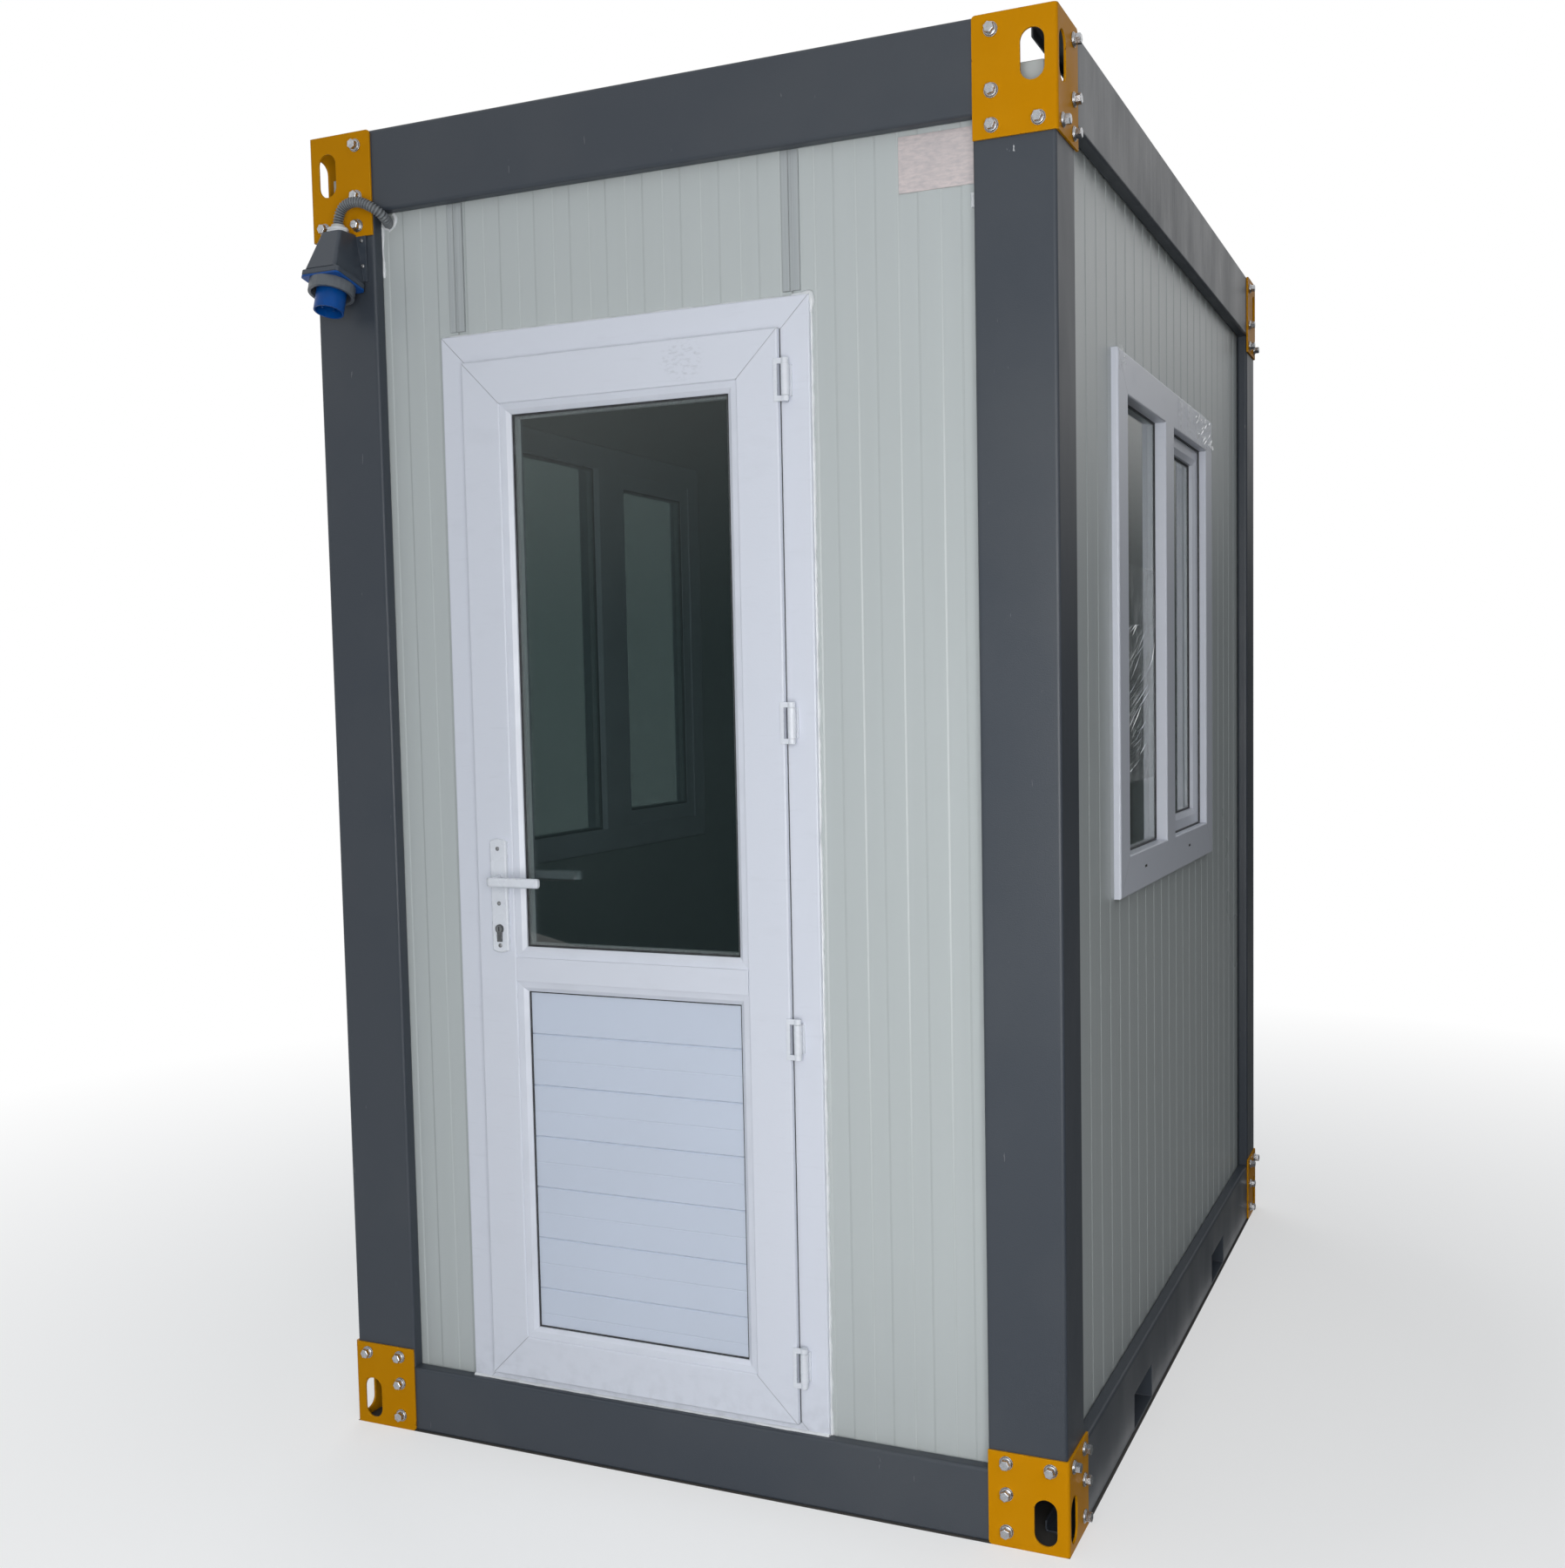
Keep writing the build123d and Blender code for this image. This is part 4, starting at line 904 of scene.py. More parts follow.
# Geometry node trees
def modifier_tree(name, inputs):
    """Empty tree for a modifier, with a geometry at each end, sizes and a material."""
    sockets = (("Geometry", "NodeSocketGeometry", None), *inputs, ("Material", "NodeSocketMaterial", None))
    return new_tree("GeometryNodeTree", name, sockets, (("Geometry", "NodeSocketGeometry"),))


def finish_tree(tree, geometry, given, result):
    """Ends a tree: instances made real, with the finish on them."""
    real = node(tree, "GeometryNodeRealizeInstances", {0: geometry}).outputs[0]
    painted = node(tree, "GeometryNodeSetMaterial", {"Geometry": real, "Material": given["Material"]})
    tree.links.new(painted.outputs[0], result["Geometry"])
    return tree


def lifted(tree, geometry, height):
    """Geometry moved up by a height."""
    offset = node(tree, "ShaderNodeCombineXYZ", {"Z": height}).outputs[0]
    return node(tree, "GeometryNodeTransform", {"Geometry": geometry, "Translation": offset}).outputs[0]


def rounded(tree, source):
    """Cylinder or cone with a smooth side."""
    inputs = {"Geometry": source.outputs["Mesh"], "Selection": source.outputs["Side"]}
    return node(tree, "GeometryNodeSetShadeSmooth", inputs).outputs[0]


def stepped_line(tree, source, step):
    """Curve along the source's edges with points at even steps."""
    line = node(tree, "GeometryNodeMeshToCurve", {"Mesh": source}).outputs[0]
    inputs = {"Curve": line, "Length": step}
    return node(tree, "GeometryNodeResampleCurve", inputs, mode="LENGTH").outputs[0]


def swept(tree, line, radius, sides, scale):
    """Smooth closed tube along a line, its radius scaled from point to point."""
    profile = node(tree, "GeometryNodeCurvePrimitiveCircle", {"Resolution": sides, "Radius": radius})
    tube = node(
        tree,
        "GeometryNodeCurveToMesh",
        {"Curve": line, "Profile Curve": profile.outputs[0], "Scale": scale, "Fill Caps": True},
    ).outputs[0]
    return node(tree, "GeometryNodeSetShadeSmooth", {"Geometry": tube}).outputs[0]


def joined(tree, *geometries):
    """Several geometries as one."""
    made = node(tree, "GeometryNodeJoinGeometry")
    for geometry in geometries:
        tree.links.new(geometry, made.inputs[0])
    return made.outputs[0]


def on_facing_points(tree, given, instance):
    """Instances on the points of the source, each turned to its facing and by chance about it."""
    points = node(tree, "GeometryNodeMeshToPoints", {"Mesh": given["Geometry"]}).outputs[0]
    facing = node(tree, "GeometryNodeInputNamedAttribute", {"Name": "facing"}, data_type="FLOAT_VECTOR")
    aimed = node(tree, "FunctionNodeAlignRotationToVector", {"Vector": facing.outputs[0]}, axis="Z")
    turn = node(tree, "FunctionNodeRandomValue", {3: math.tau, 8: given["Seed"]}, data_type="FLOAT")
    about = {"Axis": (0.0, 0.0, 1.0), "Angle": turn.outputs[1]}
    spin = node(tree, "FunctionNodeAxisAngleToRotation", about)
    turns = {0: aimed.outputs[0], 1: spin.outputs[0]}
    turned = node(tree, "FunctionNodeRotateRotation", turns, rotation_space="LOCAL")
    return node(
        tree,
        "GeometryNodeInstanceOnPoints",
        {"Points": points, "Instance": instance, "Rotation": turned.outputs[0]},
    ).outputs[0]


def bolt_tree():
    """Flange bolts: a rim, a cone and a chamfered hexagon on each point."""
    tree, given, result = modifier_tree(
        "Flange Bolts",
        (
            ("Flange Radius", NUMBER, 0.012),
            ("Flange Height", NUMBER, 0.0045),
            ("Head Radius", NUMBER, 0.009),
            ("Head Height", NUMBER, 0.0085),
            ("Seed", "NodeSocketInt", 0),
        ),
    )
    half_flange = math_node(tree, "MULTIPLY", given["Flange Height"], 0.5)
    rim = node(
        tree,
        "GeometryNodeMeshCylinder",
        {"Vertices": 32, "Radius": given["Flange Radius"], "Depth": half_flange},
    )
    cone = node(
        tree,
        "GeometryNodeMeshCone",
        {
            "Vertices": 32,
            "Radius Top": given["Head Radius"],
            "Radius Bottom": math_node(tree, "MULTIPLY", given["Flange Radius"], CONE_FOOT),
            "Depth": half_flange,
        },
    )
    head = node(
        tree,
        "GeometryNodeMeshCylinder",
        {"Vertices": 6, "Radius": given["Head Radius"], "Depth": given["Head Height"]},
    )
    crown_height = math_node(tree, "MULTIPLY", given["Head Height"], CROWN_HEIGHT)
    crown = node(
        tree,
        "GeometryNodeMeshCone",
        {
            "Vertices": 6,
            "Radius Top": math_node(tree, "MULTIPLY", given["Head Radius"], CROWN_TOP),
            "Radius Bottom": given["Head Radius"],
            "Depth": crown_height,
        },
    )
    head_middle = math_node(tree, "MULTIPLY_ADD", given["Head Height"], 0.5, given["Flange Height"])
    head_top = math_node(tree, "ADD", given["Head Height"], given["Flange Height"])
    bolt = joined(
        tree,
        lifted(tree, rounded(tree, rim), math_node(tree, "MULTIPLY", half_flange, 0.5)),
        lifted(tree, rounded(tree, cone), half_flange),
        lifted(tree, head.outputs["Mesh"], head_middle),
        lifted(tree, crown.outputs["Mesh"], head_top),
    )
    return finish_tree(tree, on_facing_points(tree, given, bolt), given, result)


def screw_tree():
    """Pan head screws with a cross recess on each point."""
    tree, given, result = modifier_tree(
        "Pan Screws", (("Radius", NUMBER, 0.004), ("Seed", "NodeSocketInt", 0))
    )
    ball = node(tree, "GeometryNodeMeshUVSphere", {"Segments": 20, "Rings": 14, "Radius": given["Radius"]})
    squat = {"Geometry": ball.outputs["Mesh"], "Scale": (1.0, 1.0, DOME_HEIGHT)}
    dome = node(tree, "GeometryNodeTransform", squat).outputs[0]
    wide, thin, deep = (math_node(tree, "MULTIPLY", given["Radius"], part) for part in RECESS_SIZE)
    cuts = []
    for first, second in ((wide, thin), (thin, wide)):
        size = node(tree, "ShaderNodeCombineXYZ", {"X": first, "Y": second, "Z": deep}).outputs[0]
        slot = node(tree, "GeometryNodeMeshCube", {"Size": size}).outputs["Mesh"]
        cuts.append(lifted(tree, slot, math_node(tree, "MULTIPLY", given["Radius"], RECESS_HEIGHT)))
    large = math_node(tree, "MULTIPLY", given["Radius"], UNDERCUT)
    size = node(tree, "ShaderNodeCombineXYZ", {"X": large, "Y": large, "Z": large}).outputs[0]
    under = node(tree, "GeometryNodeMeshCube", {"Size": size}).outputs["Mesh"]
    cuts.append(lifted(tree, under, math_node(tree, "MULTIPLY", large, -0.5)))
    boolean = node(tree, "GeometryNodeMeshBoolean", operation="DIFFERENCE", solver="EXACT")
    tree.links.new(dome, boolean.inputs["Mesh 1"])
    for cut in cuts:
        tree.links.new(cut, boolean.inputs["Mesh 2"])
    return finish_tree(tree, on_facing_points(tree, given, boolean.outputs["Mesh"]), given, result)


def conduit_tree():
    """Ribbed hose along the source's line."""
    tree, given, result = modifier_tree(
        "Ribbed Conduit",
        (("Radius", NUMBER, 0.01), ("Pitch", NUMBER, 0.004), ("Rib", NUMBER, 0.12)),
    )
    line = stepped_line(tree, given["Geometry"], math_node(tree, "DIVIDE", given["Pitch"], RIB_RINGS))
    run = node(tree, "GeometryNodeSplineParameter").outputs["Length"]
    turns = math_node(tree, "MULTIPLY", math_node(tree, "DIVIDE", run, given["Pitch"]), math.tau)
    wave = math_node(tree, "MULTIPLY_ADD", math_node(tree, "COSINE", turns), 0.5, 0.5)
    crest = math_node(tree, "POWER", wave, CREST_POWER)
    valley = math_node(tree, "MULTIPLY", math_node(tree, "SUBTRACT", 1.0, crest), given["Rib"])
    line = node(
        tree, "GeometryNodeStoreNamedAttribute", {"Geometry": line, "Name": "crest", "Value": crest}
    ).outputs[0]
    hose = swept(tree, line, given["Radius"], HOSE_SIDES, math_node(tree, "SUBTRACT", 1.0, valley))
    return finish_tree(tree, hose, given, result)


def sealant_tree():
    """Uneven bead along the source's lines."""
    tree, given, result = modifier_tree(
        "Sealant Bead",
        (
            ("Radius", NUMBER, 0.004),
            ("Uneven", NUMBER, 0.5),
            ("Wander", NUMBER, 0.002),
            ("Seed", NUMBER, 0.0),
        ),
    )
    line = stepped_line(tree, given["Geometry"], BEAD_STEP)
    place = node(tree, "GeometryNodeInputPosition").outputs[0]
    lumps = node(
        tree,
        "ShaderNodeTexNoise",
        {"Vector": place, "W": given["Seed"], "Scale": LUMP_SCALE, "Detail": 4.0},
        noise_dimensions="4D",
    )
    centred = vector_node(tree, "SUBTRACT", lumps.outputs["Color"], (0.5, 0.5, 0.5))
    drift = vector_node(tree, "SCALE", centred, Scale=given["Wander"])
    line = node(tree, "GeometryNodeSetPosition", {"Geometry": line, "Offset": drift}).outputs[0]
    above = math_node(tree, "SUBTRACT", lumps.outputs[0], 0.5)
    swing = math_node(tree, "MULTIPLY", above, given["Uneven"])
    scale = math_node(tree, "ADD", 1.0, math_node(tree, "MULTIPLY", swing, LUMP_SWELL))
    return finish_tree(tree, swept(tree, line, given["Radius"], BEAD_SIDES, scale), given, result)


def grown(name, source, tree, values):
    """Plain mesh of what a tree makes of a source mesh."""
    holder = bpy.data.objects.new(name + "_source", source)
    bpy.context.scene.collection.objects.link(holder)
    modifier = holder.modifiers.new(name, "NODES")
    modifier.node_group = tree
    for item in tree.interface.items_tree:
        if item.in_out == "INPUT" and item.name in values:
            modifier[item.identifier] = values[item.name]
    graph = bpy.context.evaluated_depsgraph_get()
    mesh = bpy.data.meshes.new_from_object(holder.evaluated_get(graph))
    mesh.name = name
    holder.modifiers.remove(modifier)
    bpy.data.objects.remove(holder)
    return mesh


def facing_points(name, places):
    """Mesh of single points that carry a facing direction."""
    mesh = bpy.data.meshes.new(name + "_points")
    mesh.from_pydata([place for place, facing in places], [], [])
    facings = mesh.attributes.new("facing", "FLOAT_VECTOR", "POINT")
    for item, (place, facing) in zip(facings.data, places):
        item.vector = facing
    return mesh


def lines_mesh(name, lines):
    """Mesh of open lines through given points."""
    points, edges = [], []
    for line in lines:
        edges += [(len(points) + step, len(points) + step + 1) for step in range(len(line) - 1)]
        points += line
    mesh = bpy.data.meshes.new(name + "_lines")
    mesh.from_pydata(points, edges, [])
    return mesh


class BOOTH_OT_steel(bpy.types.Operator):
    """Paints the frame and the corner brackets"""

    bl_idname = "booth.steel"
    bl_label = "Paint Steel"

    def execute(self, context):
        look = context.scene.booth_steel
        coat(SLOT_NODES["frame_paint"], frame_paint(look))
        coat(SLOT_NODES["bracket_paint"], bracket_paint(look))
        return {"FINISHED"}


class BOOTH_OT_bolts(bpy.types.Operator):
    """Sets the flange bolts on the legs of all brackets"""

    bl_idname = "booth.bolts"
    bl_label = "Set Bolts"

    def execute(self, context):
        sizes = context.scene.booth_bolts
        places = []
        for bracket, bolts in (("upper_brackets", UPPER_BOLTS), ("lower_brackets", LOWER_BOLTS)):
            low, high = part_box(bracket)
            for column, drop in bolts:
                height = high.z - drop if bracket == "upper_brackets" else low.z + drop
                for x in (-1, 1):
                    for y in (-1, 1):
                        front = (x * (high.x - FRONT_LEG[column]), y * high.y, height)
                        side = (x * high.x, y * (high.y - SIDE_LEG[column]), height)
                        places += [(front, (0, y, 0)), (side, (x, 0, 0))]
        values = {
            "Flange Radius": sizes.flange,
            "Flange Height": sizes.flange_height,
            "Head Radius": sizes.head,
            "Head Height": sizes.head_height,
            "Seed": sizes.seed,
            "Material": zinc_plate(context.scene.booth_steel),
        }
        mesh = grown("bracket_bolts", facing_points("bracket_bolts", places), bolt_tree(), values)
        new_piece("bracket_bolts", mesh, "cabin")
        return {"FINISHED"}


class BOOTH_OT_panels(bpy.types.Operator):
    """Coats walls, roof, floor and cover strips, and hangs the bare plate"""

    bl_idname = "booth.panels"
    bl_label = "Coat Panels"

    plate_low = (0.465, 2.305)
    plate_high = (0.598, 2.398)
    plate_thickness = 0.0015

    def execute(self, context):
        look = context.scene.booth_panels
        coat(SLOT_NODES["panel_skin"], panel_coat(look))
        coat(SLOT_NODES["roof_skin"], panel_coat(look, "Roof Coat", 3.0))
        coat(SLOT_NODES["floor_deck"], deck_board(look))
        coat(SLOT_NODES["strip_alu"], strip_coat(look))
        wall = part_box("front_wall_skins")[0].y
        shape = bmesh.new()
        (x0, z0), (x1, z1) = self.plate_low, self.plate_high
        add_box(shape, (x0, wall - self.plate_thickness, z0), (x1, wall, z1))
        new_piece("bare_plate", shape_mesh("bare_plate", shape, bare_plate(look)), "cabin")
        return {"FINISHED"}


def glaze(parts, place, rect, cover, sizes):
    """Two panes, a spacer ring between them and gaskets on both faces, for one glazing unit."""
    far = GLASS_UNIT - sizes.pane
    add_plate(parts["panes"], place, rect, 0.0, sizes.pane)
    add_plate(parts["panes"], place, rect, far, GLASS_UNIT)
    add_ring(parts["spacers"], place, rect, cover + sizes.spacer_width, sizes.pane, far)
    seen = inset_rect(rect, cover)
    lip = sizes.gasket_width * GASKET_LIP_SHARE
    add_ring(parts["gaskets"], place, seen, sizes.gasket_width, -lip, 0.0)
    add_ring(parts["gaskets"], place, seen, sizes.gasket_width, GLASS_UNIT, GLASS_UNIT + lip)


class BOOTH_OT_glazing(bpy.types.Operator):
    """Builds the glazing units of the door and of both windows"""

    bl_idname = "booth.glazing"
    bl_label = "Glaze"

    def execute(self, context):
        look = context.scene.booth_door
        finishes = {
            "panes": (pane_glass(look), "glazing"),
            "spacers": (plain_plastic("Spacer Bar", look.spacer, look.coat, 0.35, 30.0), "strip_alu"),
            "gaskets": (plain_plastic("Rubber", look.rubber, look.seam, 0.5, 60.0), None),
        }
        door = {part: bmesh.new() for part in finishes}
        low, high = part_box("door_glass")
        glaze(door, lambda u, v, d: (u, low.y + d, v), (low.x, high.x, low.z, high.z), GLASS_COVER, look)
        # Dark ring round the boards, in the gasket mesh: painted shadow in the gap between beads and
        # boards
        front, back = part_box("door_panel")
        boards = inset_rect((front.x, back.x, front.z, back.z), GLASS_COVER)
        lip = look.gasket_width * BOARD_SHADOW_SHARE
        add_ring(door["gaskets"], lambda u, v, d: (u, front.y + d, v), boards, lip, -lip, 0.0)
        # Seal between the leaf's lip and the frame: a rubber seal, partly painted shade of the gap under
        # the lip
        lock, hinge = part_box("door_stile_lock")[0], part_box("door_stile_hinge")[1]
        lip = lock.y + LEAF_LIP
        leaf = (lock.x, hinge.x, lock.z, hinge.z)
        add_ring(door["gaskets"], lambda u, v, d: (u, lip + d, v), leaf, SEAL_WIDTH, 0.0, SEAL_DEPTH)
        windows = {part: bmesh.new() for part in finishes}
        for side, node_name in ((1, "window_frame_right"), (-1, "window_frame_left")):
            self.glaze_window(windows, side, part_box(node_name), look)
        for part, (finish, slot) in finishes.items():
            mesh = shape_mesh("door_" + part, door[part], finish)
            piece = new_piece("door_" + part, mesh, "door")
            mesh = shape_mesh("window_" + part, windows[part], finish)
            window_piece = new_piece("window_" + part, mesh, "cabin")
            if part == "panes":
                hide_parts("door_glass")
                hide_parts("window_glass")
        return {"FINISHED"}

    def glaze_window(self, parts, side, box, look):
        """Fixed pane, sash pane and the seal round the sash of one window."""
        low, high = box
        face = max(abs(low.x), abs(high.x))
        floor, head = low.z + WINDOW_BAR, high.z - WINDOW_BAR
        first = low.y + WINDOW_BAR
        fixed = (first, first + WINDOW_FIXED, floor, head)
        sash = (fixed[1] + WINDOW_MULLION, high.y - WINDOW_BAR, floor, head)

        def behind(recess):
            return lambda u, v, d: (side * (face - recess - d), u, v)

        glaze(parts, behind(PANE_RECESS), fixed, 0.0, look)
        glaze(parts, behind(SASH_PANE_RECESS), inset_rect(sash, SASH_BAR), 0.0, look)
        seal = look.gasket_width
        add_ring(parts["gaskets"], behind(SASH_RECESS), sash, seal, -seal, 0.0)


class BOOTH_OT_door(bpy.types.Operator):
    """Finishes the plastic bars, the handle set and the hinges"""

    bl_idname = "booth.door"
    bl_label = "Finish Door and Windows"

    def execute(self, context):
        look = context.scene.booth_door
        low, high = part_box("door_jamb_left")[0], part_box("door_jamb_right")[1]
        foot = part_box("door_jamb_left")[0].z - FRAME_BURIED
        coat(
            ("door_jamb_left", "door_jamb_right", "door_head", "door_sill"),
            self.bars(look, "Door Frame Plastic", low.x, high.x, foot, high.z),
        )
        low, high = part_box("door_stile_lock")[0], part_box("door_stile_hinge")[1]
        bars = ("stile_lock", "stile_hinge", "top_rail", "bottom_rail", "mid_rail")
        leaf = ["door_" + bar for bar in bars]
        coat(leaf, self.bars(look, "Door Leaf Plastic", low.x, high.x, low.z, high.z, LEAF_SCUFF))
        coat(("door_panel",), plain_plastic("Board Plastic", look.board, look.smudge, 0.30, 3.0))
        coat(("glazing_beads",), plain_plastic("Bead Plastic", look.plastic, look.smudge, 0.28, 11.0))
        low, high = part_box("window_frame_right")
        centre = (0.0, (low.y + high.y) / 2, (low.z + high.z) / 2)
        window = plastic_bar(
            look, "Window Plastic", centre, (0.0, 1.0, 0.0), (high.y - low.y) / 2, (high.z - low.z) / 2
        )
        coat(("window_frame_right", "window_frame_left", "window_sashes"), window)
        coat(SLOT_NODES["handle_coat"], plain_plastic("Handle Coat", look.coat, look.smudge, 0.24, 40.0))
        # The lock metal is kept dark: painted shade and dark reflection on the chrome plug
        coat(SLOT_NODES["lock_metal"], zinc_plate(context.scene.booth_steel, "Lock Steel", 0.2, 0.26))
        return {"FINISHED"}

    def bars(self, look, name, x0, x1, z0, z1, scuff=None):
        """Plastic with mitres at the corners of a rectangle in the front."""
        centre = ((x0 + x1) / 2, 0.0, (z0 + z1) / 2)
        return plastic_bar(look, name, centre, (1.0, 0.0, 0.0), (x1 - x0) / 2, (z1 - z0) / 2, scuff)


class BOOTH_OT_inlet(bpy.types.Operator):
    """Finishes the power inlet and runs its ribbed conduit"""

    bl_idname = "booth.inlet"
    bl_label = "Finish Inlet"

    def execute(self, context):
        look = context.scene.booth_inlet
        finishes = {
            "inlet_slate": ("Inlet Slate", look.slate, look.grey, 0.42, 60.0),
            "inlet_grey": ("Inlet Grey", look.grey, look.conduit, 0.40, 60.0),
            "inlet_blue": ("Inlet Blue", look.blue, look.slate, 0.32, 50.0, 0.2),
            "gland_white": ("Gland", look.gland, look.grey, 0.50, 55.0),
        }
        for slot, finish in finishes.items():
            coat(SLOT_NODES[slot], plain_plastic(*finish))
        values = {
            "Radius": look.radius,
            "Pitch": look.pitch,
            "Rib": look.rib,
            "Material": ribbed_plastic(look),
        }
        line = self.route()
        mesh = grown("ribbed_conduit", line, conduit_tree(), values)
        hose = new_piece("ribbed_conduit", mesh, "cabin")
        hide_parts("inlet_conduit")
        return {"FINISHED"}

    def route(self):
        """Smooth line of the conduit as a mesh."""
        curve = bpy.data.curves.new("conduit_route", "CURVE")
        curve.dimensions = "3D"
        curve.resolution_u = 24
        spline = curve.splines.new("NURBS")
        spline.points.add(len(CONDUIT_ROUTE) - 1)
        for point, place in zip(spline.points, CONDUIT_ROUTE):
            point.co = (*place, 1.0)
        spline.order_u = 3
        spline.use_endpoint_u = True
        holder = bpy.data.objects.new("conduit_route", curve)
        mesh = bpy.data.meshes.new_from_object(holder)
        bpy.data.objects.remove(holder)
        return mesh


class BOOTH_OT_hardware(bpy.types.Operator):
    """Sets the screws, the keyways and the drain slots"""

    bl_idname = "booth.hardware"
    bl_label = "Set Small Hardware"

    proud = 0.0004

    def execute(self, context):
        steel, sizes = context.scene.booth_steel, context.scene.booth_bolts
        zinc = zinc_plate(steel, "Screw Zinc", 0.25, 0.45)
        # Dark finish of the key slots and drain slots: painted shade in these openings
        dark = plain_plastic("Recess Shade", context.scene.booth_door.rubber, steel.paint, 0.6, 80.0)
        tree = screw_tree()
        values = {"Radius": sizes.screw, "Seed": sizes.seed, "Material": zinc}
        low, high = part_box("handle_plates")
        middle = (low.x + high.x) / 2
        places = []
        for height in HANDLE_SCREWS:
            places += [((middle, low.y, height), (0, -1, 0)), ((middle, high.y, height), (0, 1, 0))]
        mesh = grown("handle_screws", facing_points("handle_screws", places), tree, values)
        new_piece("handle_screws", mesh, "door")
        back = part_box("corner_post_front_left")[0].y - INLET_PLATE
        places = [((x, back, z), (0, -1, 0)) for x, z in INLET_SCREWS]
        mesh = grown("inlet_screws", facing_points("inlet_screws", places), tree, values)
        new_piece("inlet_screws", mesh, "cabin")
        self.keyways(middle, zinc, dark)
        self.drains(dark)
        return {"FINISHED"}

    def keyways(self, middle, metal, dark):
        """Plug and key slot on both ends of the lock; the key slot is a dark box, painted shade of the
        slot.
        """
        low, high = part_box("lock_cylinder")
        slots, plugs = bmesh.new(), bmesh.new()
        half_width, half_height = KEYWAY[0] / 2, KEYWAY[1] / 2
        for face, out in ((low.y, -1), (high.y, 1)):
            turn = Matrix.Rotation(math.pi / 2, 4, "X")
            bmesh.ops.create_cone(
                plugs,
                cap_ends=True,
                segments=28,
                radius1=LOCK_PLUG,
                radius2=LOCK_PLUG,
                depth=self.proud,
                matrix=Matrix.Translation((middle, face + out * self.proud / 2, LOCK_HEIGHT)) @ turn,
            )
            near, far = sorted((face + out * self.proud, face + out * self.proud * 2))
            add_box(
                slots,
                (middle - half_width, near, LOCK_HEIGHT - half_height),
                (middle + half_width, far, LOCK_HEIGHT + half_height),
            )
        new_piece("lock_plugs", shape_mesh("lock_plugs", plugs, metal), "door")
        new_piece("key_slots", shape_mesh("key_slots", slots, dark), "door")

    def drains(self, dark):
        """Dark boxes along the foot bar of both windows, painted shade for the drain slots."""
        shape = bmesh.new()
        half_width, half_height = DRAIN_SIZE[0] / 2, DRAIN_SIZE[1] / 2
        for side, name in ((1, "window_frame_right"), (-1, "window_frame_left")):
            low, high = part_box(name)
            face = side * max(abs(low.x), abs(high.x))
            near, far = sorted((face, face + side * self.proud))
            for middle in DRAINS:
                add_box(
                    shape,
                    (near, middle - half_width, DRAIN_HEIGHT - half_height),
                    (far, middle + half_width, DRAIN_HEIGHT + half_height),
                )
        new_piece("drain_slots", shape_mesh("drain_slots", shape, dark), "cabin")


class BOOTH_OT_sealant(bpy.types.Operator):
    """Runs uneven sealant round the door frame, the conduit and the post"""

    bl_idname = "booth.sealant"
    bl_label = "Run Sealant"

    # Radius of each bead, how uneven it is and how far it wanders
    frame_bead = (0.0036, 0.5, 0.004)
    corner_bead = (0.0055, 0.9, 0.012)
    conduit_bead = (0.0026, 0.9, 0.010)
    gland_bead = (0.0028, 0.8, 0.006)
    seed = 5.0
    # Runs of the corner bead over and down, its stand-off, run along the post, heights on the gland
    corner_run = (0.035, 0.03)
    corner_out = 0.002
    post_run = 0.10
    gland_shares = (0.15, 0.45)

    def execute(self, context):
        look = context.scene.booth_door
        finish = plain_plastic("Sealant", look.sealant, look.seam, 0.30, 35.0)
        tree = sealant_tree()
        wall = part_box("front_wall_skins")[0].y
        left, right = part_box("door_jamb_left")[0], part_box("door_jamb_right")[1]
        foot, head = left.z, right.z
        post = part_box("corner_post_front_left")[1].x
        end = Vector(CONDUIT_ROUTE[-1])
        ring = [end + Vector((math.cos(a), 0, math.sin(a))) * RING_RADIUS for a in self.turns()]
        over, down = self.corner_run
        past, above = right.x + self.corner_out, head + self.corner_out
        beads = {
            "frame_sealant": (self.frame_bead, [
                [(right.x, wall, foot), (right.x, wall, head)],
                [(left.x, wall, head), (right.x, wall, head)],
                [(left.x, left.y, foot), (right.x, left.y, foot)],
                [(left.x, wall, foot), (left.x, wall, head)],
            ]),
            "corner_sealant": (self.corner_bead, [
                [(right.x - over, wall, above), (right.x, wall, above), (past, wall, head - down)],
                [(LUMPS[0][0], wall, LUMPS[0][1]), (LUMPS[1][0], wall, LUMPS[1][1])],
            ]),
            "conduit_sealant": (self.conduit_bead, [
                ring,
                [(post, wall, end.z - self.post_run), (post, wall, end.z)],
                *[[(x, wall, z) for x, z in smear] for smear in SMEARS],
            ]),
        }
        low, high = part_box("inlet_gland")
        axis, reach = (low + high) / 2, (high.x - low.x) / 2
        around = [Vector((math.cos(a), math.sin(a), 0)) * reach for a in self.loop()]
        beads["gland_sealant"] = (self.gland_bead, [
            [(axis.x + spot.x, axis.y + spot.y, low.z + (high.z - low.z) * share_up) for spot in around]
            for share_up in self.gland_shares
        ])
        for name, ((radius, uneven, wander), lines) in beads.items():
            values = {
                "Radius": radius,
                "Uneven": uneven,
                "Wander": wander,
                "Seed": self.seed,
                "Material": finish,
            }
            mesh = grown(name, lines_mesh(name, lines), tree, values)
            new_piece(name, mesh, "cabin")
        return {"FINISHED"}

    def loop(self):
        """Angles once round the gland."""
        return [math.radians(angle) for angle in range(0, 361, 20)]

    def turns(self):
        """Angles of the ring round the conduit's end, open at its top."""
        return [math.radians(angle) for angle in range(-200, 21, 20)]


